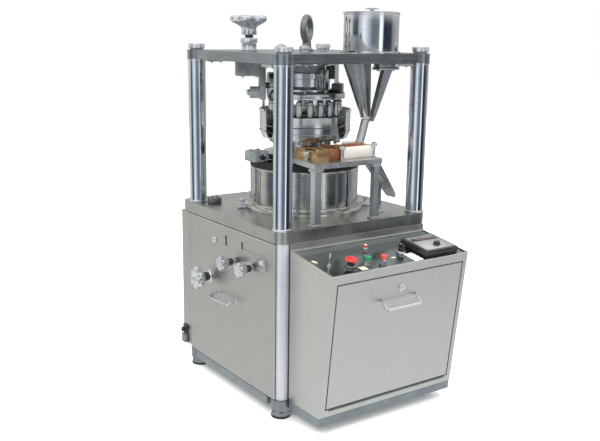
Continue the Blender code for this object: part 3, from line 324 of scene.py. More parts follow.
def turned(profile, steps=48, tone=0):
    """A lathe-turned solid about Z, from (radius, height) points that start and end on the axis or
    close on themselves."""
    shape = bmesh.new()
    points = [shape.verts.new((radius, 0.0, height)) for radius, height in profile]
    edges = [shape.edges.new(pair) for pair in zip(points, points[1:])]
    bmesh.ops.spin(shape, geom=points + edges, cent=(0, 0, 0), axis=(0, 0, 1), angle=math.tau, steps=steps,
                   use_merge=True)
    bmesh.ops.remove_doubles(shape, verts=shape.verts, dist=0.000002)
    bmesh.ops.recalc_face_normals(shape, faces=shape.faces)
    for face in shape.faces:
        face.material_index = tone
    return shape


def put(target, shape, where=Matrix()):
    """Adds a shape to another at its place."""
    shape.transform(where)
    mesh = bpy.data.meshes.new("shape")
    shape.to_mesh(mesh)
    shape.free()
    target.from_mesh(mesh)
    bpy.data.meshes.remove(mesh)
    return target


def shift(x, y, z):
    """A move along the three axes."""
    return Matrix.Translation((x, y, z))


def swing(degrees, axis="Z"):
    """A turn about an axis through the origin."""
    return Matrix.Rotation(math.radians(degrees), 4, axis)


# Each foot stands on a moulded rubber pad, with a lock nut above it that fixes its height.
rubber = coated("black_rubber_moulded", "2B2D2E", "1C1E1F", 0.62, 2.5, 0.3, worn="4A4C4D")
pads = bmesh.new()
for corner in CORNERS:
    spot = middle("foot_" + corner)
    pad = [(0.0, 0.0), (0.0375, 0.0), (0.0385, 0.0015), (0.0385, 0.0065), (0.0370, 0.0080), (0.0355, 0.0080),
           (0.0, 0.0080)]
    put(pads, turned(pad, 48), shift(spot.x, spot.y, 0.0))
piece("foot_pads", pads, rubber)

# ---------------------------------------------------------------- pillars and their cap nuts
# Four turned steel pillars, ground and hard-chromed, run from the plinth through the deck to the top
# plate, and a chromed cap nut clamps each one. Below the deck they are only ground, not polished.


def worked_metal(name, light, dark, rough, lines, relief=0.15, smudge=0.10, contrast=0.5, turning=False):
    """A bare metal with tool lines. lines is how far the surface holds its tone along x, y and z in
    millimetres, or along the radius and the height where it was turned about the turret's axis."""
    material = bpy.data.materials.new(name)
    material.use_nodes = True
    tree = material.node_tree
    surface = tree.nodes["Principled BSDF"]
    place = lay(tree, "ShaderNodeTexCoord").outputs["Object"]
    along = place
    if turning:
        offset = lay(tree, "ShaderNodeVectorMath", {0: place, 1: AXIS}, operation="SUBTRACT")
        flat = lay(tree, "ShaderNodeVectorMath", {0: offset, 1: (1, 1, 0)}, operation="MULTIPLY")
        reach = lay(tree, "ShaderNodeVectorMath", {0: flat}, operation="LENGTH")
        height = lay(tree, "ShaderNodeSeparateXYZ", {0: place})
        along = lay(tree, "ShaderNodeCombineXYZ",
                    {0: reach.outputs["Value"], 2: height.outputs[2]}).outputs[0]
    spread = lay(tree, "ShaderNodeVectorMath", {0: along, 1: tuple(1000.0 / size for size in lines)},
                 operation="MULTIPLY")
    grain = lay(tree, "ShaderNodeTexNoise", {"Vector": spread, "Scale": 1.0, "Detail": 3.0,
                                             "Roughness": 0.6})
    cloud = lay(tree, "ShaderNodeTexNoise", {"Vector": place, "Scale": 5.5, "Detail": 5.0, "Roughness": 0.6})
    prints = lay(tree, "ShaderNodeTexNoise",
                 {"Vector": place, "Scale": 38.0, "Detail": 6.0, "Roughness": 0.7})
    both = lay(tree, "ShaderNodeMix", {0: 0.5, 2: grain, 3: cloud}, data_type="FLOAT")
    share = lay(tree, "ShaderNodeMapRange", {"Value": both, "From Min": 0.5 - 0.16 / contrast / 2,
                                             "From Max": 0.5 + 0.16 / contrast / 2})
    tone = lay(tree, "ShaderNodeMix", {0: share, 6: light_of(dark), 7: light_of(light)},
               data_type="RGBA")
    rubbed = lay(tree, "ShaderNodeMapRange", {"Value": both, "From Min": 0.38, "From Max": 0.62,
                                              "To Min": rough - smudge / 2, "To Max": rough + smudge / 2})
    touched = lay(tree, "ShaderNodeMapRange", {"Value": prints, "From Min": 0.56,
                                               "From Max": 0.72, "To Max": smudge * 0.6})
    haze = lay(tree, "ShaderNodeMath", {0: rubbed, 1: touched}, operation="ADD")
    edge = lay(tree, "ShaderNodeBevel", {"Radius": 0.0010}, samples=4)
    bump = lay(tree, "ShaderNodeBump", {"Strength": relief, "Distance": 0.0003, "Height": grain,
                                        "Normal": edge})
    surface.inputs["Metallic"].default_value = 1.0
    tree.links.new(tone.outputs[2], surface.inputs["Base Color"])
    tree.links.new(haze.outputs[0], surface.inputs["Roughness"])
    tree.links.new(bump.outputs[0], surface.inputs["Normal"])
    return material


# Hard chrome over ground steel: a clear mirror with faint lines that run round the bar, drawn 2 mm apart.
hard_chrome = worked_metal("hard_chrome_ground", "DDE0E4", "C4C8CE", 0.10, (60, 60, 2.0), 0.03, 0.07, 0.6)
# Ground steel, not plated: satin and softer than the chrome above. Its near-white tone is partly a painted
# highlight, the broad bright band down the bar.
ground_bar = worked_metal("carbon_steel_ground_painted_highlight", "F2F3F7", "DCDEE4", 0.46, (60, 60, 2.5), 0.08, 0.10, 0.6)
# Zinc plate gone dull: a soft mid grey with a fine spangle.
zinc_plate = worked_metal("steel_zinc_plated", "A9AEB1", "7F8588", 0.34, (3.0, 3.0, 3.0), 0.10, 0.12, 0.5)
pillar_r = (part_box("pillar_front_left")[1].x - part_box("pillar_front_left")[0].x) / 2
deck_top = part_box("deck_plate")[1].z
deck_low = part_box("deck_plate")[0].z
plate_low, plate_high = (corner.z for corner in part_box("top_plate"))
for corner in CORNERS:
    dress("pillar_" + corner, hard_chrome)
    dress("foot_" + corner, zinc_plate)

# A pillar's ground lower length, and the narrow chromed collar that seats it on the deck.
COLLAR_HIGH = 0.009
for corner in CORNERS:
    spot = middle("pillar_" + corner)
    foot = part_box("pillar_" + corner)[0].z
    bar = turned([(pillar_r + 0.0002, foot + 0.001), (pillar_r + 0.0007, foot + 0.002),
                  (pillar_r + 0.0007, deck_low - 0.002), (pillar_r + 0.0002, deck_low - 0.001)], 64)
    sleeve = bmesh.new()
    put(sleeve, bar, shift(spot.x, spot.y, 0.0))
    piece("lower_bar_" + corner, sleeve, ground_bar)
collars = bmesh.new()
for corner in CORNERS:
    spot = middle("pillar_" + corner)
    ring = [(pillar_r, deck_top + 0.0003), (pillar_r + 0.0030, deck_top + 0.0003),
            (pillar_r + 0.0034, deck_top + 0.0012), (pillar_r + 0.0034, deck_top + COLLAR_HIGH - 0.002),
            (pillar_r + 0.0016, deck_top + COLLAR_HIGH), (pillar_r, deck_top + COLLAR_HIGH)]
    put(collars, turned(ring, 64), shift(spot.x, spot.y, 0.0))
    ring = [(pillar_r, plate_low - 0.006), (pillar_r + 0.0022, plate_low - 0.006),
            (pillar_r + 0.0030, plate_low - 0.005), (pillar_r + 0.0030, plate_low - 0.0003),
            (pillar_r, plate_low - 0.0003)]
    put(collars, turned(ring, 64), shift(spot.x, spot.y, 0.0))
# Bright nickel-chrome plate on small turned fittings: a neutral mirror that shows every handling mark.
bright_chrome = worked_metal("chrome_plate_polished", "E6E8EA", "CACDD0", 0.09, (5, 5, 5), 0.03, 0.08, 0.5)
piece("pillar_collars", collars, bright_chrome)
# Satin chrome on the cast star heads: brighter than bare steel, with a softer shine than the turned parts.
satin_chrome = worked_metal("chrome_plate_satin", "E4E6E8", "C6CACD", 0.21, (5, 5, 5), 0.05, 0.08, 0.5)

nuts = bmesh.new()
for corner in CORNERS:
    spot = middle("cap_nut_" + corner)
    low, high = (point.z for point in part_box("cap_nut_" + corner))
    reach = (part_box("cap_nut_" + corner)[1].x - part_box("cap_nut_" + corner)[0].x) / 2
    cap = [(0.0, low), (reach - 0.0060, low), (reach - 0.0050, low + 0.004), (reach - 0.0030, low + 0.006),
           (reach, low + 0.007), (reach, high - 0.004), (reach - 0.001, high - 0.0015),
           (reach - 0.004, high - 0.0002), (reach - 0.011, high), (reach - 0.012, high - 0.0012),
           (0.009, high - 0.0012), (0.008, high - 0.006), (0.0, high - 0.006)]
    put(nuts, turned(cap, 64), shift(spot.x, spot.y, 0.0))
cap_nuts = piece("cap_nuts", nuts, hard_chrome)
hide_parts(*("cap_nut_" + corner for corner in CORNERS))

# A thin hexagon lock nut turns on each foot's screw, just above the rubber pad.
foot_nuts = bmesh.new()
for corner in CORNERS:
    spot = middle("foot_" + corner)
    hexagon = turned([(0.0350, 0.0095), (0.0405, 0.0110), (0.0405, 0.0250), (0.0350, 0.0265),
                      (0.0350, 0.0095)], 6)
    put(foot_nuts, hexagon, shift(spot.x, spot.y, 0.0))
piece("foot_lock_nuts", foot_nuts, zinc_plate)

# ---------------------------------------------------------------- deck and top plate
# Two machined steel plates. The deck is faced with polished stainless and carries the turret; the top
# plate hangs the cams and the pressure roller. Bolted lugs stiffen the corners under the top plate.

# Stainless facing, fine belt grain drawn 3 mm wide, with the cloudy wipe marks of a washed surface.
deck_steel = worked_metal("stainless_belt_ground", "BCBEB9", "9DA09B", 0.31, (90, 3.0, 90), 0.06, 0.12, 0.45)
# Milled plate: a cool satin with long level cutter lines, drawn 4 mm apart up its edges.
plate_steel = worked_metal("tool_steel_milled", "A3A9AC", "7E868A", 0.26, (160, 90, 4.0), 0.05, 0.12, 0.5)
dress("deck_plate", deck_steel)
dress("top_plate", plate_steel)


def break_edges(shape, edges, offset, segments=2):
    """Rounds the edges given."""
    bmesh.ops.bevel(shape, geom=edges, offset=offset, segments=segments, profile=0.5, affect="EDGES",
                    material=-1, clamp_overlap=True)


def toned(shape, tone):
    """Gives a whole shape one of its piece's finishes."""
    for face in shape.faces:
        face.material_index = tone
    return shape


def block(low, high, rounding=0.001, segments=2, tone=0):
    """A rectangular bar or plate with its edges broken."""
    shape = bmesh.new()
    bmesh.ops.create_cube(shape, size=1.0)
    size = Vector(high) - Vector(low)
    bmesh.ops.scale(shape, verts=shape.verts, vec=size)
    bmesh.ops.translate(shape, verts=shape.verts, vec=(Vector(high) + Vector(low)) / 2)
    if rounding:
        break_edges(shape, shape.edges[:], rounding, segments)
    return toned(shape, tone)


def slab(outline, low, high, rounding=0.0008, tone=0):
    """A flat plate cut to an (x, y) outline, with its edges broken."""
    shape = bmesh.new()
    corners = [shape.verts.new((x, y, low)) for x, y in outline]
    base = shape.faces.new(corners)
    grown = bmesh.ops.extrude_face_region(shape, geom=[base])
    top = [part for part in grown["geom"] if isinstance(part, bmesh.types.BMVert)]
    bmesh.ops.translate(shape, verts=top, vec=(0.0, 0.0, high - low))
    bmesh.ops.recalc_face_normals(shape, faces=shape.faces)
    if rounding:
        break_edges(shape, shape.edges[:], rounding)
    return toned(shape, tone)


def around(count, radius, height, start=0.5):
    """Places set evenly round the axis; start is the first one's share of a step."""
    for step in range(count):
        turn = math.tau * (step + start) / count
        yield shift(radius * math.cos(turn), radius * math.sin(turn), height)


def cap_screw(radius, high, tone=0):
    """A socket-head screw standing on zero, with its socket open at the top."""
    return turned([(0.0, high * 0.35), (radius * 0.45, high * 0.35), (radius * 0.48, high * 0.97),
                   (radius * 0.86, high), (radius, high * 0.86), (radius, 0.0), (radius * 0.9, 0.0)], 24,
                   tone)


def hex_nut(across, high, bore, tone=0):
    """A hexagon nut on its washer, with chamfered corners and a domed stud end."""
    shape = turned([(0.0, 0.0), (across * 0.66, 0.0), (across * 0.66, high * 0.12), (0.0, high * 0.12)], 32,
                   tone)
    body = bmesh.new()
    bmesh.ops.create_cone(body, cap_ends=True, segments=6, radius1=across * 0.577, radius2=across * 0.577,
                          depth=high * 0.85)
    bmesh.ops.translate(body, verts=body.verts, vec=(0.0, 0.0, high * 0.54))
    break_edges(body, body.edges[:], across * 0.05)
    put(shape, body)
    put(shape, turned([(0.0, high * 0.9), (bore, high * 0.9), (bore, high * 1.12), (bore * 0.6, high * 1.2),
                       (0.0, high * 1.22)], 20, tone))
    return shape


# The lugs are bright aluminium castings, each held by two screws.
lug_metal = worked_metal("aluminium_die_cast", "D5D7D6", "B9BCBC", 0.38, (4, 4, 4), 0.25, 0.10, 0.5)
half = middle("pillar_rear_right").x
lugs = bmesh.new()
for side_x, side_y, lengthwise in ((-1, 1, "x"), (1, -1, "x"), (1, 1, "y"), (-1, -1, "y")):
    lug = slab([(0.050, -0.020), (0.130, -0.013), (0.136, -0.006), (0.136, 0.006), (0.130, 0.013),
                (0.050, 0.020)], -0.012, -0.0005, 0.002)
    for reach in (0.072, 0.115):
        put(lug, cap_screw(0.005, 0.005), shift(reach, 0.0, -0.012) @ swing(180, "X"))
    heading = math.atan2(0.0, -side_x) if lengthwise == "x" else math.atan2(-side_y, 0.0)
    put(lugs, lug, shift(side_x * half, side_y * half, plate_low) @ Matrix.Rotation(heading, 4, "Z"))
piece("corner_lugs", lugs, lug_metal)

# ---------------------------------------------------------------- cabinet
# Folded stainless sheet, 1.2 mm, hangs between the pillars and hides the gearbox. The left side carries
# the setting knobs, two dial windows, a lock and a bow handle. A cover closes the back.

# Stainless sheet with a satin finish: warm grey, upright grain drawn 3 mm wide, soft cloudy sheen.
sheet_steel = worked_metal("stainless_sheet_satin", "C2C2BE", "AEAEAA", 0.36, (3.0, 3.0, 260), 0.05, 0.10,
                           0.42)
for node in ("left_panel", "right_panel", "rear_cover"):
    dress(node, sheet_steel)
# A dark strip in the gap round each sheet is painted shade: the shadow in the gap, drawn as a black sheet.
seal = coated("painted_gap_shade", "35393A", "25292A", 0.75, 3.0, 0.2, worn="4A4E4E")
panel_low, panel_high = (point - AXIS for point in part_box("left_panel"))
side = -panel_low.x
seals = bmesh.new()
SEAL_WIDE = 0.0035
for hand in (-1, 1):
    face = hand * (side - 0.0011)
    near, far = panel_low.y, panel_high.y
    strips = (
        ((face - 0.0006, near, panel_high.z - SEAL_WIDE), (face + 0.0006, far, panel_high.z + 0.0001)),
        ((face - 0.0006, near, panel_low.z), (face + 0.0006, far, panel_low.z + SEAL_WIDE)),
    )
    for low, high in strips:
        moved = hand * 0.0007
        put(seals, block((low[0] + moved, low[1], low[2]), (high[0] + moved, high[1], high[2]), 0.0003))
piece("cabinet_gap_shades", seals, seal)

# The hem: each sheet's edge is folded back, which leaves a bright round line inside the painted gap shade.
# The strip gets a paler stainless than the sheet, so its brightness is partly a painted highlight.
hem_steel = worked_metal("stainless_hem_painted_highlight", "E4E3DC", "C9C8C0", 0.20, (40, 40, 40), 0.04, 0.10, 0.4)
hems = bmesh.new()
HEM = 0.0024
for hand in (-1, 1):
    face = hand * (side + 0.0002)
    low_z, high_z = panel_low.z + 0.006, panel_high.z - 0.005
    near, far = panel_low.y + 0.002, panel_high.y - 0.010
    for low, high in (
            ((face, near, high_z - HEM), (face, far, high_z)),
            ((face, near, low_z), (face, far, low_z + HEM)),
            ((face, near, low_z), (face, near + HEM, high_z)),
            ((face, far - HEM, low_z), (face, far, high_z))):
        put(hems, block((low[0] - 0.0007, low[1], low[2]), (high[0] + 0.0007, high[1], high[2]), 0.0005))
piece("cabinet_hems", hems, hem_steel)

LEFTWARD = swing(-90, "Y")


def on_left(y, z):
    """The frame of a part that stands out from the left panel."""
    return shift(-side, y, z) @ LEFTWARD


def lobed(rings, lobes, segments=96, tone=0):
    """A knob head from (height, radius, dip) rings: each ring is a circle drawn in between its lobes."""
    shape = bmesh.new()
    bmesh.ops.create_circle(shape, cap_ends=False, segments=segments, radius=1.0)
    edges = shape.edges[:]
    ends = []
    for count, (height, radius, dip) in enumerate(rings):
        if count:
            grown = bmesh.ops.extrude_edge_only(shape, edges=edges)["geom"]
            verts = [part for part in grown if isinstance(part, bmesh.types.BMVert)]
            edges = [part for part in grown if isinstance(part, bmesh.types.BMEdge)
                     and all(vert in verts for vert in part.verts)]
        else:
            verts = shape.verts[:]
        for vert in verts:
            angle = math.atan2(vert.co.y, vert.co.x)
            reach = radius - dip * (0.5 - 0.5 * math.cos(lobes * angle)) ** 1.6
            vert.co = (reach * math.cos(angle), reach * math.sin(angle), height)
        if count in (0, len(rings) - 1):
            ends.append(edges)
    for edges in ends:
        bmesh.ops.contextual_create(shape, geom=edges)
    bmesh.ops.recalc_face_normals(shape, faces=shape.faces)
    return toned(shape, tone)


# Setting knobs: a chromed star head on a black moulded collar, pinned to a steel spindle.
black_moulding = coated("black_phenolic_moulded", "26282A", "191B1C", 0.30, 1.6, 0.08, worn="55585A",
                        gloss=0.3)


def setting_knob(name, body, y, z, reach, head_r, thick, collar_r):
    """Builds a star knob that stands out from the left panel, and puts it in its CAD node's place."""
    start = reach - thick
    shape = lobed([
        (start - 0.016, collar_r * 0.92, 0.0), (start - 0.006, collar_r * 0.95, 0.0),
        (start - 0.002, collar_r * 1.25, head_r * 0.02), (start + thick * 0.06, head_r * 0.86, head_r * 0.16),
        (start + thick * 0.26, head_r * 0.98, head_r * 0.26), (start + thick * 0.50, head_r, head_r * 0.28),
        (start + thick * 0.74, head_r * 0.98, head_r * 0.27),
        (start + thick * 0.90, head_r * 0.92, head_r * 0.22),
        (start + thick * 0.98, head_r * 0.78, head_r * 0.14), (reach, head_r * 0.62, head_r * 0.05),
        (reach, head_r * 0.30, 0.0), (reach - 0.0012, head_r * 0.26, 0.0), (reach - 0.0012, 0.001, 0.0)], 6)
    put(shape, turned([(0.0, 0.0003), (collar_r * 0.80, 0.0003), (collar_r * 0.80, 0.004),
                       (collar_r * 0.62, 0.005), (collar_r * 0.62, 0.012), (0.0, 0.012)], 40))
    put(shape, turned([(0.0, 0.010), (collar_r * 0.94, 0.010), (collar_r, 0.012), (collar_r, start - 0.020),
                       (collar_r * 1.04, start - 0.018), (collar_r * 1.04, start - 0.014),
                       (0.0, start - 0.014)],
                      40, 1))
    knob = piece(name + "_star", shape, (satin_chrome, black_moulding), body, at=on_left(y, z))
    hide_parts(name)


HEAD_SPREAD = 1.14
KNOB_THICK, KNOB_COLLAR_R = 0.026, 0.0145
WHEEL_THICK, WHEEL_COLLAR_R = 0.028, 0.0190
for node, body in (("weight_knob", "weight_knob_body"), ("thickness_knob", "thickness_knob_body")):
    spot = middle(node)
    low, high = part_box(node)
    setting_knob(node, body, spot.y, spot.z, -side - (low.x - AXIS.x), (high.y - low.y) / 2 * HEAD_SPREAD,
                 KNOB_THICK, KNOB_COLLAR_R)
spot = middle("drive_handwheel")
low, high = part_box("drive_handwheel")
setting_knob("drive_handwheel", "worm_shaft", spot.y, spot.z, -side - (low.x - AXIS.x),
             (high.y - low.y) / 2 * HEAD_SPREAD,
             WHEEL_THICK, WHEEL_COLLAR_R)

# The wheel's spindle leaves the cabinet through a chromed ferrule with a flange.
ferrule = turned([(0.0165, 0.0003), (0.0290, 0.0003), (0.0290, 0.003), (0.0240, 0.005), (0.0225, 0.010),
                  (0.0215, 0.012), (0.0165, 0.012)], 48)
piece("wheel_ferrule", ferrule, bright_chrome, at=on_left(spot.y, spot.z))

dress("side_handle", satin_chrome)
dress("side_lock", bright_chrome)
# A lock's key slot, cut across its face.
slots = bmesh.new()
spot = middle("side_lock")
lock_face = -side - (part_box("side_lock")[0].x - AXIS.x)
put(slots, block((-0.0014, -0.0065, lock_face - 0.0010), (0.0014, 0.0065, lock_face + 0.0004), 0.0003),
    on_left(spot.y, spot.z) @ swing(20))
piece("side_lock_slot", slots, black_moulding, "side_cam")

# Dial windows: a dark scale behind each upright slot, with a pale pointer and its tick marks.
scale_white = coated("white_ink_printed", "E8E6DC", "D5D3C8", 0.5, 3.0, 0.05)
WINDOWS = ((0.024, 0.641), (-0.103, 0.640))
scales = bmesh.new()
for y, z in WINDOWS:
    where = shift(-side + 0.0016, y, z)
    put(scales, block((-0.0026, -0.0058, -0.0210), (-0.0016, 0.0058, 0.0210), 0.0004, tone=1), where)
    put(scales, block((-0.0034, -0.0040, -0.0186), (-0.0026, 0.0040, 0.0186), 0.0002, tone=1), where)
    for mark in range(7):
        height = -0.012 + mark * 0.004
        put(scales, block((-0.00365, 0.0004, height - 0.0003), (-0.0034, 0.0018, height + 0.0003), 0.00005,
                          tone=2), where)
piece("dial_windows", scales, (bright_chrome, black_moulding, scale_white))

# A thin stiffening plate, round-cornered, is screwed on below the windows beside a small chromed plug.
stiffener = block((-0.0025, -0.285, 0.577), (0.0, -0.095, 0.634), 0.0, tone=0)
corner_lines = [edge for edge in stiffener.edges if abs(edge.verts[0].co.x - edge.verts[1].co.x) > 0.001]
break_edges(stiffener, corner_lines, 0.012, 6)
rim = [edge for edge in stiffener.edges if all(vert.co.x < -0.002 for vert in edge.verts)]
break_edges(stiffener, rim, 0.0008)
plate = put(bmesh.new(), stiffener, shift(-side - 0.0003, 0.0, 0.0))
for y in (-0.105, -0.274):
    for z in (0.586, 0.625):
        put(plate, cap_screw(0.0032, 0.0016), on_left(y, z) @ shift(0.0, 0.0, 0.0026))
piece("stiffener_plate", plate, sheet_steel)
plug = turned([(0.0, 0.0026), (0.0125, 0.0026), (0.0125, 0.006), (0.0100, 0.008), (0.0095, 0.014),
               (0.0080, 0.0165), (0.0, 0.0175)], 40)
piece("oil_plug", plug, bright_chrome, at=on_left(-0.258, 0.611))

# The rear cover is screwed on down both sides; its lower end takes the supply through a gland.
cover_low, cover_high = (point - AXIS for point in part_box("rear_cover"))
screws = bmesh.new()
for x in (cover_low.x + 0.014, cover_high.x - 0.014):
    for count in range(5):
        z = cover_low.z + 0.060 + count * (cover_high.z - cover_low.z - 0.110) / 4
        put(screws, cap_screw(0.0055, 0.0035), shift(x, cover_high.y - 0.0002, z)
            @ swing(-90, "X"))
piece("cover_screws", screws, bright_chrome)
# Louvres pressed out of the cover let the motor's warm air leave. The dark strip under each hood is painted
# shade, the shadow in its opening.
louvres = bmesh.new()
for column in (-0.13, 0.13):
    for row in range(8):
        z = 0.230 + row * 0.024
        hood = block((column - 0.080, 0.0, -0.006), (column + 0.080, 0.005, 0.006), 0.0)
        lip = [edge for edge in hood.edges if all(vert.co.y > 0.004 and vert.co.z > 0 for vert in edge.verts)]
        break_edges(hood, lip, 0.0045, 4)
        put(louvres, hood, shift(0.0, cover_high.y - 0.0001, z))
        put(louvres, block((column - 0.077, 0.0002, -0.0075), (column + 0.077, 0.0030, -0.0058), 0.0003,
                           tone=1),
            shift(0.0, cover_high.y - 0.0001, z))
piece("cover_louvres", louvres, (sheet_steel, seal))
dress("cable_gland", rubber)
spot = middle("cable_gland")
gland_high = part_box("cable_gland")[1] - AXIS
gland = turned([(0.0085, 0.0), (0.0170, 0.0), (0.0170, 0.008), (0.0150, 0.010), (0.0085, 0.010),
                (0.0085, 0.0)], 6)
inlet = put(bmesh.new(), gland, shift(gland_high.x, spot.y, spot.z) @ LEFTWARD)
put(inlet, block((gland_high.x - 0.0150, spot.y - 0.0170, 0.0880),
                 (gland_high.x - 0.0004, spot.y + 0.0170, 0.1300),
                 0.0030, tone=1))
put(inlet, block((gland_high.x - 0.0060, spot.y - 0.0195, 0.1310),
                 (gland_high.x - 0.0004, spot.y + 0.0195, 0.1720),
                 0.0020, tone=0))
piece("supply_inlet", inlet, (black_moulding, cast_iron))

# ---------------------------------------------------------------- console
# The electrical console in front: a folded stainless case with a leaning hinged door and a sunk, sloping
# control plate. Buttons, a lamp and a speed box stand on the plate.

# Stainless sheet of the console: the same satin finish as the cabinet, given a lighter tone that is painted
# light, to brighten the leaning door.
console_steel = worked_metal("stainless_sheet_painted_lighter", "D5D6D2", "C4C5C1", 0.36, (3.0, 3.0, 240), 0.05, 0.10,
                             0.42)
for node in ("console_body", "console_door"):
    dress(node, console_steel)
dress("door_handle", satin_chrome)
dress("door_lock", bright_chrome)
# The control plate is polished and mirrors the dark underside of the deck; its base tone is darkened too, a
# painted reflection of that underside, so it reads as dark steel.
dark_mirror = worked_metal("stainless_polished_painted_reflection", "9CA5A6", "737C7E", 0.16, (80, 3.0, 80), 0.04, 0.12,
                           0.5)
dress("control_panel", dark_mirror)

console_low, console_high = (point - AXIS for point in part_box("console_body"))
plinth_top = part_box("base_plinth")[1].z
FRONT_TOP = 0.639
LEAN = math.radians(6.58)
SLOPE = math.radians(8.40)
RECESS = 0.003
DOORWAY = shift(0.0, console_low.y + (FRONT_TOP - plinth_top) * math.tan(LEAN), plinth_top) \
    @ Matrix.Rotation(LEAN, 4, "X")
DESK = shift(0.0, console_low.y, FRONT_TOP) @ Matrix.Rotation(SLOPE, 4, "X")
door_left, door_right = (point.x - AXIS.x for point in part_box("console_door"))
DOOR_FOOT = 0.033
DOOR_TALL = 0.495

# A dark strip round the door is painted shade: the shadow in the door's gap, drawn as a dark line.
GASKET = 0.0048
gasket = bmesh.new()
sill, lintel = DOOR_FOOT - GASKET, DOOR_FOOT + DOOR_TALL + GASKET
for low, high in (
        ((door_left - GASKET, -0.0007, sill), (door_left - 0.0008, 0.0022, lintel)),
        ((door_right + 0.0008, -0.0007, sill), (door_right + GASKET, 0.0022, lintel)),
        ((door_left - GASKET, -0.0007, sill), (door_right + GASKET, 0.0022, DOOR_FOOT - 0.0008)),
        ((door_left - GASKET, -0.0007, lintel - GASKET + 0.0008), (door_right + GASKET, 0.0022, lintel))):
    put(gasket, block(low, high, 0.0004), DOORWAY)
piece("door_gap_shade_strips", gasket, seal)

# Folded hems catch the light along the console's upright corners and round the sunk plate; their paler tone
# is partly a painted highlight.
hems = bmesh.new()
console_left, console_right = console_low.x, console_high.x
desk_back = 0.2640 / math.cos(SLOPE)
for x in (console_left, console_right):
    inward = 1 if x < 0 else -1
    put(hems, block((min(x, x + inward * 0.006) - 0.0004, -0.0002, -0.0030),
                    (max(x, x + inward * 0.006) + 0.0004, desk_back - 0.002, 0.0014), 0.0007), DESK)
put(hems, block((console_left, -0.0004, -0.0030), (console_right, 0.0060, 0.0014), 0.0007), DESK)
piece("console_hems", hems, hem_steel)

# The cam lock: a chromed barrel with a dark key slot, in a raised ring.
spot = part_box("door_lock")
lock_x = (spot[0].x + spot[1].x) / 2 - AXIS.x
LOCK = DOORWAY @ shift(lock_x, 0.0, DOOR_FOOT + DOOR_TALL - 0.053) @ swing(90, "X")
key = bmesh.new()
put(key, turned([(0.0095, 0.0058), (0.0110, 0.0068), (0.0095, 0.0068), (0.0085, 0.0058), (0.0095, 0.0058)],
                40),
    LOCK)
put(key, block((-0.0015, -0.0070, 0.0052), (0.0015, 0.0070, 0.0064), 0.0003, tone=1),
    LOCK @ swing(-25))
piece("lock_key_slot", key, (bright_chrome, black_moulding), "door_cam")

# Handle feet: a small turned rose where each end of the bow handle meets the sheet.
roses = bmesh.new()
handle_low, handle_high = (point.x - AXIS.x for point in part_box("door_handle"))
HANDLE_UP = DOOR_FOOT + DOOR_TALL - 0.095
for x in (handle_low + 0.0055, handle_high - 0.0055):
    put(roses, turned([(0.0052, 0.0), (0.0100, 0.0), (0.0098, 0.0014), (0.0075, 0.0022), (0.0052, 0.0024)],
                      32),
        DOORWAY @ shift(x, -0.0002, HANDLE_UP) @ swing(90, "X"))
piece("door_handle_roses", roses, bright_chrome, "door")
roses = bmesh.new()
side_low, side_high = (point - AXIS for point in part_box("side_handle"))
for y in (side_low.y + 0.0055, side_high.y - 0.0055):
    put(roses, turned([(0.0052, 0.0), (0.0100, 0.0), (0.0098, 0.0014), (0.0075, 0.0022), (0.0052, 0.0024)],
                      32),
        on_left(y, side_high.z - 0.0052) @ shift(0.0, 0.0, 0.0002))
piece("side_handle_roses", roses, bright_chrome)

# Piano hinge along the door's lower edge.
hinge = bmesh.new()
HINGE_OUT = -0.0020
HINGE_DROP = 0.0085
for count in range(24):
    x = door_left + 0.012 + count * (door_right - door_left - 0.024) / 24
    knuckle = turned([(0.0, 0.0), (0.0022, 0.0), (0.0026, 0.0004), (0.0026, 0.0238), (0.0022, 0.0242),
                      (0.0, 0.0242)], 10)
    put(hinge, knuckle, DOORWAY @ shift(x, HINGE_OUT, DOOR_FOOT - HINGE_DROP) @ swing(90, "Y"))
piece("door_hinge", hinge, dark_mirror)

# ---------------------------------------------------------------- controls on the desk
# Panel-mounted switches with chromed bezels: a red mushroom stop, a green start and a red stop button, a
# black selector, a toggle, a pilot lamp and the speed box. Small engraved legend tags are left blank.
red_cap = coated("red_abs_moulded", "D42A26", "B01E1C", 0.26, 1.2, 0.05, gloss=0.6)
faded_red = coated("red_abs_glossy", "C8443E", "A5302C", 0.28, 1.2, 0.05, gloss=0.6)
green_cap = coated("green_abs_moulded", "1E8F5E", "14724A", 0.28, 1.2, 0.05, gloss=0.6)
cream = coated("cream_laminate_engraved", "E9E2CE", "D5CDB6", 0.45, 2.0, 0.05, worn="F4F0E4")
white_card = coated("white_laminate_gloss", "F2EFEC", "E4E0DC", 0.32, 2.0, 0.04, worn="FFFFFF")


def on_desk(x, y, high=-RECESS):
    """The frame of a part that stands on the control plate: x along it, y from its front edge."""
    return DESK @ shift(x, y, high)


# The mushroom stop: a domed red head over a waist, a dark shroud and a knurled chrome nut.
x, y = -0.1936, 0.060
shape = turned([(0.0, 0.0400), (0.010, 0.0394), (0.018, 0.0372), (0.0225, 0.0335), (0.0245, 0.0290),
                (0.0240, 0.0265), (0.0215, 0.0250), (0.0150, 0.0245), (0.0095, 0.0240), (0.0095, 0.0180),
                (0.0, 0.0180)], 56)
put(shape, turned([(0.0, 0.0125), (0.0125, 0.0125), (0.0125, 0.0240), (0.0118, 0.0246), (0.0, 0.0246)], 40,
                  1))
stop = piece("e_stop_head", shape, (red_cap, black_moulding), "e_stop_body", at=on_desk(x, y))
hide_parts("e_stop")
base = turned([(0.0, 0.0002), (0.0205, 0.0002), (0.0205, 0.0016), (0.0195, 0.0022), (0.0165, 0.0024),
               (0.0165, 0.0120), (0.0155, 0.0132), (0.0132, 0.0132), (0.0130, 0.0060), (0.0, 0.0060)], 48, 1)
put(base, turned([(0.0165, 0.0024), (0.0185, 0.0026), (0.0185, 0.0070), (0.0170, 0.0078), (0.0165, 0.0078)],
                 48, 0))
piece("e_stop_base", base, (bright_chrome, black_moulding), at=on_desk(x, y))

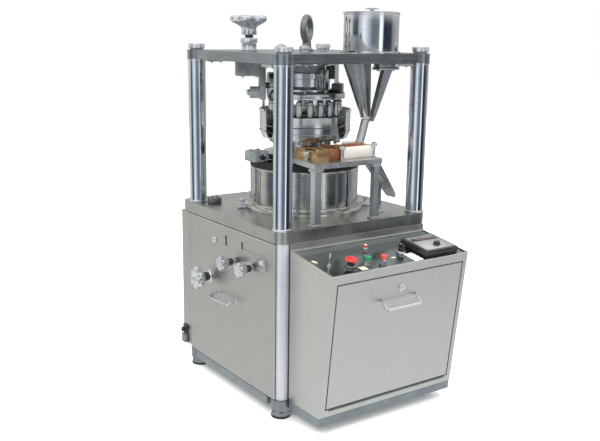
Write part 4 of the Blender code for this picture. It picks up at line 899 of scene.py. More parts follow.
# Push buttons: a ribbed body with chrome and black bands, and a coloured cap that moves.
RIBS = ((0.0004, 0.0036, 0.0104, 0.0150, 0), (0.0036, 0.0058, 0.0104, 0.0136, 1),
        (0.0058, 0.0088, 0.0104, 0.0150, 0), (0.0088, 0.0110, 0.0104, 0.0136, 1),
        (0.0110, 0.0140, 0.0104, 0.0150, 0), (0.0140, 0.0160, 0.0104, 0.0152, 1),
        (0.0160, 0.0205, 0.0145, 0.0152, 0))
for name, body, finish, (x, y) in (
        ("start_button", "start_body", green_cap, (-0.1243, 0.053)),
        ("stop_button", "stop_body", faded_red, (-0.0549, 0.041))):
    cap = turned([(0.0, 0.0046), (0.0098, 0.0046), (0.0098, 0.0206), (0.0138, 0.0210), (0.0142, 0.0222),
                  (0.0142, 0.0320), (0.0132, 0.0345), (0.0100, 0.0355), (0.0, 0.0350)], 48)
    cap = piece(name + "_cap", cap, finish, body, at=on_desk(x, y))
    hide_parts(name)
    bezel = bmesh.new()
    for low, high, bore, radius, tone in RIBS:
        put(bezel, turned([(bore, low), (radius - 0.0006, low), (radius, low + 0.0006),
                           (radius, high - 0.0006), (radius - 0.0006, high), (bore, high), (bore, low)],
                          40, tone), on_desk(x, y))
    piece(name + "_bezel", bezel, (bright_chrome, black_moulding))

# The selector: a black wing grip on a chromed collar.
x, y = 0.0835, 0.098
grip = turned([(0.0, 0.0105), (0.0145, 0.0105), (0.0148, 0.0125), (0.0142, 0.0215), (0.0130, 0.0232),
               (0.0, 0.0236)], 48)
wing = block((-0.0050, -0.0150, 0.0200), (0.0050, 0.0150, 0.0345), 0.0024, 3)
put(grip, wing)
put(grip, block((-0.0007, 0.0040, 0.0342), (0.0007, 0.0142, 0.0350), 0.0002, tone=1))
knob = piece("selector_grip", grip, (black_moulding, scale_white), "selector_body",
             at=on_desk(x, y))
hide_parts("selector_knob")
collar = turned([(0.0080, 0.0002), (0.0185, 0.0002), (0.0190, 0.0010), (0.0190, 0.0050), (0.0172, 0.0068),
                 (0.0165, 0.0098), (0.0152, 0.0102), (0.0080, 0.0102)], 48)
piece("selector_collar", collar, bright_chrome, at=on_desk(x, y))

# The toggle: its lever stands in a domed bush with a hexagon nut.
dress("toggle_lever", bright_chrome)
bush = hex_nut(0.0140, 0.0030, 0.0040)
put(bush, turned([(0.0046, 0.0030), (0.0062, 0.0030), (0.0062, 0.0080), (0.0050, 0.0100), (0.0046, 0.0100)],
                 28))
bmesh.ops.delete(bush, geom=[face for face in bush.faces if face.calc_center_median().length < 0.0030
                             and face.calc_center_median().z > 0.0031], context="FACES")
piece("toggle_bush", bush, bright_chrome, at=on_desk(-0.2639, 0.097))

# Pilot lamp: a chromed ring, a red lens and a white diffuser behind it.
lamp = turned([(0.0, 0.0002), (0.0110, 0.0002), (0.0110, 0.0060), (0.0095, 0.0080), (0.0, 0.0080)], 40, 0)
put(lamp, turned([(0.0, 0.0078), (0.0088, 0.0078), (0.0088, 0.0150), (0.0070, 0.0172), (0.0, 0.0180)], 40, 1))
put(lamp, turned([(0.0, 0.0178), (0.0052, 0.0176), (0.0048, 0.0196), (0.0030, 0.0206), (0.0, 0.0210)], 32, 2))
piece("pilot_lamp", lamp, (bright_chrome, faded_red, white_card),
      at=on_desk(-0.0280, 0.182))

# Blank legend tags of engraving laminate, and a plain white gloss card beside the speed box.
TAGS = ((-0.295, 0.145, 0.012, 0.024, 12), (-0.158, 0.030, 0.030, 0.030, 0), (0.020, 0.070, 0.020, 0.012, 0))
tags = bmesh.new()
for x, y, wide, deep, turn in TAGS:
    put(tags, block((-wide / 2, -deep / 2, 0.0003), (wide / 2, deep / 2, 0.0016), 0.0004),
        on_desk(x, y) @ swing(turn))
piece("legend_tags", tags, cream)
card = block((-0.022, -0.030, 0.0003), (0.022, 0.042, 0.0022), 0.0007)
piece("white_gloss_card", card, white_card, at=on_desk(0.1020, 0.040))

# The speed box: a moulded black case, a silver face, a dark red window and a fluted knob with its dial.
dress("speed_box", black_moulding)
silver_face = worked_metal("aluminium_face_anodised", "DADBD8", "C6C8C5", 0.40, (60, 1.5, 60), 0.05, 0.08,
                           0.5)
window_red = coated("red_acrylic_window", "5A1512", "3A0C0B", 0.12, 6.0, 0.02, gloss=1.0)
BOX_LEFT, BOX_NEAR, BOX_RIGHT, BOX_FAR = 0.140, 0.016, 0.305, 0.171
BOX_TOP = 0.0280
face_plate = bmesh.new()
put(face_plate, block((BOX_LEFT + 0.011, BOX_NEAR + 0.011, BOX_TOP + 0.0002),
                      (BOX_RIGHT - 0.011, BOX_FAR - 0.011, BOX_TOP + 0.0009), 0.0003), on_desk(0, 0))
for x in (BOX_LEFT + 0.017, BOX_RIGHT - 0.017):
    for y in (BOX_NEAR + 0.017, BOX_FAR - 0.017):
        put(face_plate, cap_screw(0.0028, 0.0014), on_desk(x, y, BOX_TOP - RECESS + 0.0009))
piece("speed_box_face", face_plate, silver_face)
window = bmesh.new()
put(window, block((0.160, 0.116, BOX_TOP + 0.0009), (0.285, 0.137, BOX_TOP + 0.0026), 0.0006, tone=0),
    on_desk(0, 0))
put(window, block((0.165, 0.120, BOX_TOP + 0.0026), (0.280, 0.133, BOX_TOP + 0.0032), 0.0003, tone=1),
    on_desk(0, 0))
piece("speed_window", window, (black_moulding, window_red))
KNOB_AT = (0.232, 0.062)
ticks = bmesh.new()
for count in range(11):
    turn = math.radians(-135 + 27 * count)
    tick = block((-0.0006, 0.0170, 0.0), (0.0006, 0.0205, 0.00045), 0.0001)
    put(ticks, tick, on_desk(*KNOB_AT, BOX_TOP - RECESS + 0.0009) @ Matrix.Rotation(-turn, 4, "Z"))
piece("speed_scale", ticks, black_moulding)
fluted = lobed([(0.0012, 0.0145, 0.0), (0.0030, 0.0145, 0.0), (0.0036, 0.0122, 0.0008),
                (0.0135, 0.0112, 0.0008),
                (0.0148, 0.0100, 0.0004), (0.0150, 0.0070, 0.0), (0.0145, 0.0010, 0.0)], 18, 108)
put(fluted, block((-0.0006, 0.0030, 0.0142), (0.0006, 0.0100, 0.0154), 0.0002, tone=1))
dial = piece("speed_dial", fluted, (black_moulding, scale_white), "dial_body",
             at=on_desk(*KNOB_AT, BOX_TOP - RECESS))
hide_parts("speed_knob")

# ---------------------------------------------------------------- fittings on the top plate
# The pressure handwheel is a chromed five-lobed casting on a screw that bears on the roller bracket. The
# lifting eye is a drop forging in a round boss, with a stud nut beside it.
STATION_TURN = 154.5
EYE_TURN = -53
boss = middle("pressure_boss")
SCREW = shift(boss.x, boss.y, plate_high) @ swing(STATION_TURN)
wheel = lobed([
    (0.0640, 0.0270, 0.0), (0.0655, 0.0305, 0.0), (0.0690, 0.0318, 0.0005), (0.0850, 0.0308, 0.0015),
    (0.0915, 0.0312, 0.0025), (0.0965, 0.0350, 0.0050), (0.1040, 0.0480, 0.0110), (0.1110, 0.0620, 0.0175),
    (0.1165, 0.0720, 0.0215), (0.1210, 0.0760, 0.0235), (0.1270, 0.0775, 0.0240), (0.1330, 0.0765, 0.0235),
    (0.1380, 0.0725, 0.0215), (0.1400, 0.0660, 0.0180), (0.1385, 0.0560, 0.0120), (0.1330, 0.0400, 0.0050),
    (0.1290, 0.0300, 0.0), (0.1280, 0.0180, 0.0), (0.1290, 0.0160, 0.0), (0.1290, 0.0060, 0.0),
    (0.1275, 0.0045, 0.0), (0.1275, 0.0010, 0.0)], 5, 120)
put(wheel, turned([(0.0, -0.050), (0.0115, -0.050), (0.0115, 0.0530), (0.0150, 0.0532), (0.0150, 0.0645),
                   (0.0, 0.0645)], 40))
put(wheel, turned([(0.0148, 0.0535), (0.0168, 0.0535), (0.0172, 0.0545), (0.0172, 0.0615), (0.0168, 0.0625),
                   (0.0148, 0.0625), (0.0148, 0.0535)], 48, 1))
star = piece("pressure_star", wheel, (satin_chrome, black_moulding), "pressure_wheel_body",
             at=SCREW)
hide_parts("pressure_handwheel")

nut = turned([(0.0123, 0.0003), (0.0335, 0.0003), (0.0340, 0.0012), (0.0338, 0.0045), (0.0310, 0.0060),
              (0.0300, 0.0080), (0.0298, 0.0280), (0.0305, 0.0300), (0.0123, 0.0310)], 56)
crown = bmesh.new()
bmesh.ops.create_cone(crown, cap_ends=True, segments=8, radius1=0.0350, radius2=0.0350, depth=0.0190)
bmesh.ops.translate(crown, verts=crown.verts, vec=(0.0, 0.0, 0.0418))
break_edges(crown, crown.edges[:], 0.0022, 3)
put(nut, crown)
sleeve = piece("pressure_lock_nut", nut, satin_chrome, at=SCREW)
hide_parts("pressure_boss")

# Forged steel, barrelled: a dull grey with a fine scale texture and brighter rubbed edges.
forged = worked_metal("carbon_steel_forged", "A7ABAD", "6E7375", 0.36, (6, 6, 6), 0.35, 0.16, 0.5)
EYE_R = 0.0460
WIRE_R = 0.0135
hoop = bmesh.new()
bmesh.ops.create_circle(hoop, cap_ends=False, segments=20, radius=WIRE_R)
bmesh.ops.rotate(hoop, verts=hoop.verts, cent=(0, 0, 0), matrix=Matrix.Rotation(math.pi / 2, 3, "X"))
for vert in hoop.verts:
    vert.co.x *= 0.92
bmesh.ops.translate(hoop, verts=hoop.verts, vec=(EYE_R, 0.0, 0.0))
bmesh.ops.spin(hoop, geom=hoop.verts[:] + hoop.edges[:], cent=(0, 0, 0), axis=(0, 0, 1), angle=math.tau,
               steps=64, use_merge=True)
bmesh.ops.remove_doubles(hoop, verts=hoop.verts, dist=0.000002)
bmesh.ops.recalc_face_normals(hoop, faces=hoop.faces)
EYE_FOOT = shift(0.006, 0.004, 0.0)
lift = put(bmesh.new(), hoop, EYE_FOOT @ shift(0.0, 0.0, 0.0905) @ swing(EYE_TURN)
           @ swing(90, "Y"))
put(lift, turned([(0.0, 0.0003), (0.0275, 0.0003), (0.0280, 0.0010), (0.0280, 0.0070), (0.0262, 0.0090),
                  (0.0215, 0.0120), (0.0195, 0.0160), (0.0185, 0.0300), (0.0180, 0.0400), (0.0, 0.0460)], 48),
    EYE_FOOT)
ring = piece("lifting_eye", lift, forged, at=shift(0.0, 0.0, plate_high))
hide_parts("eye_bolt")

# Studs of the upper cam come through the plate under chromed nuts.
studs = bmesh.new()
for x, y in ((0.124, 0.050), (-0.060, 0.095), (-0.070, -0.090)):
    put(studs, hex_nut(0.0380, 0.0240, 0.0095), shift(x, y, plate_high + 0.0002))
piece("cam_stud_nuts", studs, bright_chrome)

# ---------------------------------------------------------------- hopper
# Spun and welded stainless: a mirror-finished drum with a rolled rim and a loose lid, standing on the
# plate, and a dull funnel welded on below it.
DRUM_X, DRUM_Y, DRUM_R, DRUM_TOP = 0.155, -0.230, 0.1095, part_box("hopper")[1].z
# Mirror-polished stainless, a long clean reflection with a few wipe marks.
mirror_steel = worked_metal("stainless_mirror_polished", "EBECED", "D3D5D7", 0.11, (60, 60, 3.0), 0.03, 0.08,
                            0.5)
dress("hopper", mirror_steel)
rim = bmesh.new()
shell = turned([(DRUM_R + 0.0004, plate_high + 0.0040), (DRUM_R + 0.0006, plate_high + 0.0046),
                (DRUM_R + 0.0006, DRUM_TOP - 0.0070), (DRUM_R + 0.0022, DRUM_TOP - 0.0058),
                (DRUM_R + 0.0026, DRUM_TOP - 0.0030), (DRUM_R + 0.0016, DRUM_TOP - 0.0006),
                (DRUM_R + 0.0004, DRUM_TOP - 0.0004)], 128)
DRUM_AT = shift(DRUM_X, DRUM_Y, 0.0)
put(rim, shell, DRUM_AT)
for spot in around(8, DRUM_R + 0.0080, plate_high + 0.0032):
    put(rim, cap_screw(0.0042, 0.0034), DRUM_AT @ spot)
piece("hopper_shell", rim, mirror_steel)
seam = block((-0.0010, -0.0006, plate_high + 0.005), (0.0010, 0.0006, DRUM_TOP - 0.008), 0.0003)
SEAM_TURN = 62
piece("hopper_seam", seam, forged,
      at=DRUM_AT @ swing(SEAM_TURN) @ shift(DRUM_R + 0.0006, 0.0, 0.0))

# The funnel below: dull, with a darker tone than the drum that is painted shade under the plate.
dull_steel = worked_metal("stainless_dull_painted_shade", "A9AEAD", "747A79", 0.34, (26, 26, 220), 0.10, 0.16, 0.55)
FUNNEL_X, FEED_Y, FUNNEL_R = 0.080, -0.240, 0.0545
OUTLET_X, OUTLET_Z, OUTLET_R = 0.1305, 1.142, 0.019
cone = bmesh.new()
bmesh.ops.create_circle(cone, cap_ends=False, segments=96, radius=1.0)
sides = cone.edges[:]
rings = [(FUNNEL_X, plate_low - 0.0006, FUNNEL_R + 0.0006), (FUNNEL_X, plate_low - 0.0055, FUNNEL_R + 0.0006),
         (OUTLET_X, OUTLET_Z + 0.003, OUTLET_R + 0.0007), (OUTLET_X, OUTLET_Z + 0.0002, OUTLET_R + 0.0007)]
for count, (x, z, radius) in enumerate(rings):
    if count:
        grown = bmesh.ops.extrude_edge_only(cone, edges=sides)["geom"]
        verts = [part for part in grown if isinstance(part, bmesh.types.BMVert)]
        sides = [part for part in grown if isinstance(part, bmesh.types.BMEdge)
                 and all(vert in verts for vert in part.verts)]
    else:
        verts = cone.verts[:]
    for vert in verts:
        turn = math.atan2(vert.co.y - (FEED_Y if count else 0.0),
                          vert.co.x - (rings[count - 1][0] if count else 0.0))
        vert.co = (x + radius * math.cos(turn), FEED_Y + radius * math.sin(turn), z)
bmesh.ops.recalc_face_normals(cone, faces=cone.faces)
bmesh.ops.solidify(cone, geom=cone.faces[:], thickness=0.0005)
piece("funnel_skin", cone, dull_steel)
collar = turned([(OUTLET_R + 0.0003, 0.0), (OUTLET_R + 0.0030, 0.0), (OUTLET_R + 0.0034, 0.0008),
                 (OUTLET_R + 0.0034, 0.0062), (OUTLET_R + 0.0028, 0.0070), (OUTLET_R + 0.0003, 0.0070),
                 (OUTLET_R + 0.0003, 0.0)], 56)
piece("outlet_collar", collar, hem_steel, at=shift(OUTLET_X, FEED_Y, OUTLET_Z + 0.0005))

LID_R = 0.1140
lid = turned([(0.0, 0.0003), (LID_R - 0.0015, 0.0003), (LID_R, 0.0010), (LID_R, 0.0030),
              (LID_R - 0.0060, 0.0036),
              (LID_R - 0.0120, 0.0058), (0.0500, 0.0078), (0.0120, 0.0090), (0.0, 0.0092)], 96, 0)
put(lid, turned([(0.0, 0.0082), (0.0100, 0.0084), (0.0085, 0.0100), (0.0065, 0.0115), (0.0065, 0.0138),
                 (0.0160, 0.0148), (0.0270, 0.0158), (0.0290, 0.0170), (0.0286, 0.0188), (0.0240, 0.0198),
                 (0.0, 0.0200)], 64))
cover = piece("hopper_cover", lid, mirror_steel, "lid", at=shift(DRUM_X, DRUM_Y, DRUM_TOP))
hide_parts("hopper_lid")

# ---------------------------------------------------------------- turret and punches
# One turned steel turret on its shaft: a head that guides twenty upper punches, a die table with twenty
# hardened dies, and a carrier for the lower punches. Each punch is ground tool steel with a domed head.
STATIONS = 20
PITCH_R = 0.142
HEAD_R = 0.168
HEAD_LOW, HEAD_HIGH = 1.045, 1.140
DIE_TOP = 0.990

# Turned steel, bright: rings run round the turret, drawn 2.5 mm apart, over cloudy oil marks.
turned_steel = worked_metal("tool_steel_turned", "D2D3D2", "A2A5A6", 0.20, (2.5, 40, 2.5), 0.06, 0.12, 0.5,
                            turning=True)
# Punches: ground and polished tool steel.
punch_steel = worked_metal("tool_steel_ground", "CFD1D1", "9DA1A3", 0.17, (8, 8, 1.6), 0.05, 0.10, 0.5)
turret = turned([
    (0.0, 0.5005), (0.030, 0.5005), (0.030, 0.830), (0.058, 0.838), (0.066, 0.843),
    (0.110, 0.880), (0.164, 0.880), (0.164, 0.951), (0.1755, 0.9535), (0.176, 0.9550),
    (0.176, 0.9640), (0.1745, 0.9655), (0.1745, 0.9690), (0.176, 0.9705), (0.176, DIE_TOP - 0.002),
    (0.1745, DIE_TOP), (0.1080, DIE_TOP), (0.1070, DIE_TOP + 0.001), (0.0850, DIE_TOP + 0.001),
    (0.0850, HEAD_LOW), (HEAD_R - 0.004, HEAD_LOW), (HEAD_R - 0.001, HEAD_LOW + 0.0015),
    (HEAD_R, HEAD_LOW + 0.005),
    (HEAD_R, HEAD_LOW + 0.026), (HEAD_R - 0.0014, HEAD_LOW + 0.0275), (HEAD_R - 0.0014, HEAD_LOW + 0.0300),
    (HEAD_R, HEAD_LOW + 0.0315), (HEAD_R, HEAD_LOW + 0.0520), (HEAD_R - 0.002, HEAD_LOW + 0.0545),
    (HEAD_R - 0.0042, HEAD_LOW + 0.0560), (HEAD_R - 0.0042, HEAD_HIGH - 0.004), (HEAD_R - 0.0060, HEAD_HIGH),
    (0.0600, HEAD_HIGH), (0.0560, 1.150), (0.0500, 1.1600), (0.0480, 1.1800), (0.0300, 1.1810),
    (0.0300, 1.3290), (0.0, 1.3295)], 120)
for count in range(STATIONS):
    angle = math.tau * (count + 0.5) / STATIONS
    at = Matrix.Rotation(angle, 4, "Z") @ shift(PITCH_R, 0.0, 0.0)
    upper = turned([(0.0, 1.1395), (0.0165, 1.1395), (0.0165, 1.1430), (0.0150, 1.1445), (0.0128, 1.1450),
                    (0.0128, 1.1880), (0.0120, 1.1893), (0.0092, 1.1900), (0.0088, 1.1925), (0.0092, 1.1945),
                    (0.0124, 1.1955), (0.0130, 1.1970), (0.0128, 1.2010), (0.0100, 1.2040), (0.0060, 1.2048),
                    (0.0, 1.2049)], 24, 1)
    put(turret, upper, at)
    stem = turned([(0.0, 1.0285), (0.0072, 1.0285), (0.0078, 1.0290), (0.0078, 1.0440), (0.0105, 1.0445),
                   (0.0110, 1.0465), (0.0, 1.0465)], 20, 1)
    put(turret, stem, at)
    lower = turned([(0.0, 0.8522), (0.0070, 0.8524), (0.0110, 0.8545), (0.0128, 0.8580), (0.0128, 0.8640),
                    (0.0092, 0.8650), (0.0092, 0.8700), (0.0126, 0.8712), (0.0126, 0.8850), (0.0, 0.8850)],
                    20, 1)
    put(turret, lower, at)
    die = turned([(0.0055, DIE_TOP - 0.004), (0.0055, DIE_TOP + 0.0004), (0.0150, DIE_TOP + 0.0004),
                  (0.0155, DIE_TOP - 0.0002), (0.0155, DIE_TOP - 0.004)], 24, 1)
    put(turret, die, at)
    lock = turned([(0.0, 0.0), (0.0045, 0.0), (0.0048, 0.0006), (0.0048, 0.0022), (0.0030, 0.0022),
                   (0.0026, 0.0008), (0.0, 0.0008)], 16, 2)
    put(turret, lock, Matrix.Rotation(angle, 4, "Z") @ shift(0.1755, 0.0, 0.9795)
        @ swing(90, "Y") @ shift(0.0, 0.0, -0.0015))
rotor = piece("turret_and_punches", turret, (turned_steel, punch_steel, bright_chrome), "turret_body")
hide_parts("turret")

# A black oil ring runs in the groove under the punch barrels.
oil_ring = turned([(0.1245, 1.1402), (0.1600, 1.1402), (0.1612, 1.1410), (0.1612, 1.1424), (0.1600, 1.1432),
                   (0.1245, 1.1432), (0.1245, 1.1402)], 120)
piece("turret_oil_ring", oil_ring, rubber, "turret_body")

# ---------------------------------------------------------------- cams, bearing and rollers
# The upper cam hangs under the top plate and lifts the punches; its hub carries the turret's top bearing.
# Turned rings, a clamp block and cap screws show between the plate and the punch heads.
dress("upper_cam", cast_iron)
dress("lower_cam", cast_iron)
hub = turned([(0.0835, 1.2420), (0.1180, 1.2400), (0.1200, 1.2410), (0.1200, 1.2490), (0.1180, 1.2500),
              (0.0960, 1.2510), (0.0930, 1.2540), (0.0870, 1.2600), (0.0870, 1.2900), (0.0900, 1.2915),
              (0.0900, 1.3130), (0.0870, 1.3145), (0.0835, 1.3150), (0.0835, 1.2420)], 96)
piece("cam_hub_ring", hub, turned_steel)
band = turned([(0.1622, 1.2125), (0.1640, 1.2130), (0.1646, 1.2140), (0.1646, 1.2330), (0.1636, 1.2345),
               (0.1622, 1.2350)], 120)
bmesh.ops.bisect_plane(band, geom=band.verts[:] + band.edges[:] + band.faces[:],
                       plane_co=(-0.080, 0.038, 0.0),
                       plane_no=(0.903, -0.431, 0.0), clear_inner=True)
bmesh.ops.solidify(band, geom=band.faces[:], thickness=0.0006)
piece("cam_track_face", band, turned_steel)
flange = turned([(0.1005, 1.3460), (0.1180, 1.3460), (0.1195, 1.3475), (0.1195, 1.3600), (0.1180, 1.3612),
                 (0.1005, 1.3612), (0.1005, 1.3460)], 96)
for spot in around(8, 0.1100, 1.3460, 0.25):
    put(flange, cap_screw(0.0058, 0.0060), spot @ swing(180, "X"))
piece("bearing_flange", flange, bright_chrome)
screws = bmesh.new()
for count in range(10):
    turn = math.tau * (count + 0.5) / 10
    if abs(math.degrees(turn) - STATION_TURN) < 32:
        continue
    put(screws, cap_screw(0.0055, 0.0058), shift(0.1400 * math.cos(turn), 0.1400 * math.sin(turn), 1.2378))
for count in range(6):
    turn = math.radians(-105 + 32 * count)
    put(screws, cap_screw(0.0060, 0.0065), Matrix.Rotation(turn, 4, "Z") @ shift(0.0895, 0.0, 1.3020)
        @ swing(90, "Y"))
piece("cam_screws", screws, bright_chrome)

# A black ejection-cam block is bolted on the right of the cam, and a keeper on its front.
EJECTOR_TURN = -52
blocks = bmesh.new()
put(blocks, block((0.118, -0.024, 1.2360), (0.158, 0.024, 1.2740), 0.002, tone=0),
    swing(EJECTOR_TURN))
for reach in (-0.013, 0.013):
    put(blocks, cap_screw(0.0050, 0.0050, 1), swing(EJECTOR_TURN)
        @ shift(0.138, reach, 1.2738))
put(blocks, block((0.086, -0.018, 1.2500), (0.112, 0.018, 1.3300), 0.002, tone=2),
    swing(-78))
put(blocks, block((0.086, -0.022, 1.2900), (0.122, 0.022, 1.3450), 0.003, tone=0),
    swing(-40))
piece("cam_blocks", blocks, (black_moulding, bright_chrome, turned_steel))

for node in ("pressure_roller", "lower_roller"):
    dress(node, punch_steel)
dress("roller_bracket", cast_iron)
STATION = swing(STATION_TURN)
fixings = bmesh.new()
for y in (-0.025, 0.025):
    for x in (0.205, 0.262):
        put(fixings, cap_screw(0.0055, 0.0050), STATION @ shift(x, y, plate_low - 0.0622)
            @ swing(180, "X"))
put(fixings, hex_nut(0.0240, 0.0130, 0.0070), STATION @ shift(0.2305, 0.0, 1.2330)
    @ swing(90, "Y"))
piece("bracket_fixings", fixings, bright_chrome)

# ---------------------------------------------------------------- guard and skirt
# A bent stainless guard wraps the back and sides of the turret's head. Below the die table a polished
# skirt of screwed segments, with a black dust band on top, keeps powder out of the lower cams.
guard_steel = worked_metal("stainless_sheet_rolled", "EDEFEE", "D4D8D8", 0.27, (40, 40, 3.0), 0.05, 0.12, 0.5)
dress("turret_guard", guard_steel)
# Polished stainless of the skirt: a mirror gone slightly soft, so that its bands run into one another.
skirt_steel = worked_metal("stainless_skirt_polished", "CFD0CA", "AEB0AA", 0.18, (60, 60, 4.0), 0.04, 0.10,
                           0.5)
dress("turret_skirt", skirt_steel)
rims = bmesh.new()
GUARD_R = 0.190
GUARD_START = -62
for low, high in ((1.1600, 1.1680), (1.0780, 1.0830)):
    bead = turned([(GUARD_R + 0.0002, low), (GUARD_R + 0.0020, low + 0.0008),
                   (GUARD_R + 0.0024, (low + high) / 2),
                   (GUARD_R + 0.0020, high - 0.0008), (GUARD_R + 0.0002, high)], 120)
    bmesh.ops.bisect_plane(bead, geom=bead.verts[:] + bead.edges[:] + bead.faces[:], plane_co=(0.0, 0.0, 0.0),
                           plane_no=(math.sin(math.radians(GUARD_START)),
                                     -math.cos(math.radians(GUARD_START)), 0.0),
                           clear_outer=False, clear_inner=False)
    gone = [face for face in bead.faces
            if not -60.5 < (math.degrees(math.atan2(face.calc_center_median().y, face.calc_center_median().x))
                            + 62) % 360 - 62 < 176.5]
    bmesh.ops.delete(bead, geom=gone, context="FACES")
    bmesh.ops.solidify(bead, geom=bead.faces[:], thickness=0.0005)
    put(rims, bead)
piece("guard_beads", rims, bright_chrome)
rivets = bmesh.new()
for turn in (10, 80, 125):
    for z in (1.156, 1.345):
        put(rivets, cap_screw(0.0050, 0.0034), swing(turn)
            @ shift(GUARD_R + 0.0002, 0.0, z) @ swing(90, "Y"))
piece("guard_screws", rivets, bright_chrome)

SKIRT_R = 0.227
band_black = coated("black_paint_baked", "17191A", "0E1011", 0.62, 3.0, 0.06, worn="3A3E40")
band = turned([(SKIRT_R - 0.0128, 0.9603), (SKIRT_R - 0.0128, 0.9612), (SKIRT_R + 0.0008, 0.9612),
               (SKIRT_R + 0.0022, 0.9600), (SKIRT_R + 0.0024, 0.9580), (SKIRT_R + 0.0024, 0.9330),
               (SKIRT_R + 0.0016, 0.9316), (SKIRT_R + 0.0002, 0.9312)], 128)
bmesh.ops.solidify(band, geom=band.faces[:], thickness=0.0004)
piece("skirt_band", band, band_black)
edging = turned([(SKIRT_R + 0.0001, 0.9235), (SKIRT_R + 0.0016, 0.9240), (SKIRT_R + 0.0020, 0.9255),
                 (SKIRT_R + 0.0020, 0.9290), (SKIRT_R + 0.0012, 0.9305), (SKIRT_R + 0.0001, 0.9308),
                 (SKIRT_R + 0.0001, 0.9235)], 128)
base = turned([(SKIRT_R + 0.0002, deck_top + 0.0290), (SKIRT_R + 0.0046, deck_top + 0.0288),
               (SKIRT_R + 0.0056, deck_top + 0.0270), (SKIRT_R + 0.0056, deck_top + 0.0190),
               (SKIRT_R + 0.0080, deck_top + 0.0165), (SKIRT_R + 0.0205, deck_top + 0.0140),
               (SKIRT_R + 0.0228, deck_top + 0.0125), (SKIRT_R + 0.0232, deck_top + 0.0108),
               (SKIRT_R + 0.0232, deck_top + 0.0003)], 128)
put(edging, base)
piece("skirt_rings", edging, skirt_steel)
joints = bmesh.new()
for count in range(10):
    turn = swing(-146 + 36 * count)
    put(joints, block((SKIRT_R - 0.0004, -0.0016, deck_top + 0.0300), (SKIRT_R + 0.0005, 0.0016, 0.9236),
                      0.0003,
                      tone=1), turn)
    put(joints, block((SKIRT_R - 0.0004, 0.0040, deck_top + 0.0300), (SKIRT_R + 0.0012, 0.0160, 0.9236),
                      0.0005,
                      tone=0), turn)
    for z in (0.800, 0.905):
        put(joints, cap_screw(0.0034, 0.0022, 0), turn @ shift(SKIRT_R + 0.0010, 0.0100, z)
            @ swing(90, "Y"))
piece("skirt_joints", joints, (skirt_steel, band_black))
bolts = bmesh.new()
for spot in around(12, SKIRT_R + 0.0150, deck_top + 0.0142):
    put(bolts, cap_screw(0.0062, 0.0066), spot)
piece("skirt_bolts", bolts, hard_chrome)

# Deck clamps: small toe clamps with thumb nuts hold the skirt down, and a stop block stands at the back.
clamps = bmesh.new()
for turn in (-150, -118, 158, 28, -28):
    at = swing(turn)
    put(clamps, block((0.2530, -0.0110, deck_top + 0.0004), (0.2870, 0.0110, deck_top + 0.0090), 0.0016), at)
    put(clamps, block((0.2390, -0.0070, deck_top + 0.0142), (0.2810, 0.0070, deck_top + 0.0200), 0.0016), at)
    put(clamps, hex_nut(0.0130, 0.0090, 0.0040), at @ shift(0.2670, 0.0, deck_top + 0.0200))
    put(clamps, turned([(0.0, 0.008), (0.0060, 0.008), (0.0120, 0.0105), (0.0125, 0.0130), (0.0120, 0.0180),
                        (0.0090, 0.0200), (0.0, 0.0205)], 32), at @ shift(0.2670, 0.0, deck_top + 0.0210))
piece("deck_clamps", clamps, hard_chrome)
stop = block((-0.320, 0.235, deck_top + 0.0003), (-0.268, 0.270, deck_top + 0.0260), 0.003)
put(stop, cap_screw(0.0060, 0.0060), shift(-0.306, 0.2525, deck_top + 0.0258))
put(stop, cap_screw(0.0060, 0.0060), shift(-0.282, 0.2525, deck_top + 0.0258))
piece("deck_stop", stop, forged)

# The tail-over scraper: a grey cast arm beside the die table with a bored boss, its bolt left out.
arm = block((-0.266, -0.030, 0.9605), (-0.196, 0.052, 1.0040), 0.006, 3)
put(arm, turned([(0.0075, 0.0), (0.0150, 0.0), (0.0160, 0.0010), (0.0160, 0.0050), (0.0075, 0.0050),
                 (0.0075, 0.0)], 36, 1), shift(-0.2300, -0.0298, 0.9860) @ swing(90, "X"))
put(arm, turned([(0.0, 0.0), (0.0072, 0.0), (0.0072, 0.0044), (0.0, 0.0044)], 24, 2),
    shift(-0.2300, -0.0298, 0.9860) @ swing(90, "X"))
put(arm, cap_screw(0.0060, 0.0060, 1), shift(-0.250, 0.030, 1.0038))
put(arm, cap_screw(0.0060, 0.0060, 1), shift(-0.214, 0.030, 1.0038))
piece("scraper_arm", arm, (cast_iron, bright_chrome, black_moulding))

# ---------------------------------------------------------------- feed
# Powder falls through a light stainless chute into an off-white box, and a bronze feed frame with open
# pockets spreads it over the dies. A bright stainless table on two posts carries both.
# Glass-blasted stainless: an even pale blue-grey that keeps its tone on every side.
table_steel = worked_metal("stainless_glass_blasted", "D8DBDC", "B4B9BB", 0.36, (12, 12, 12), 0.10, 0.10, 0.5)
for node in ("feed_table", "feed_chute", "chute_arm"):
    dress(node, table_steel)
dress("discharge_chute", guard_steel)
mount = bmesh.new()
arm_low, arm_high = (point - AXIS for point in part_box("chute_arm"))
put(mount, block((0.176, arm_low.y - 0.004, plate_low - 0.030),
                 (0.282, arm_high.y + 0.004, plate_low - 0.0184),
                 0.003))
for x in (0.190, 0.268):
    put(mount, cap_screw(0.0055, 0.0055), shift(x, FEED_Y, plate_low - 0.030) @ swing(180, "X"))
piece("arm_mount", mount, table_steel)

# Cast nylon, machined: off-white, slightly waxy.
nylon = coated("nylon_cast_machined", "D8D3CA", "C6BFB4", 0.40, 4.0, 0.06, worn="F6F2EA", gloss=0.15)
dress("feed_box", nylon)
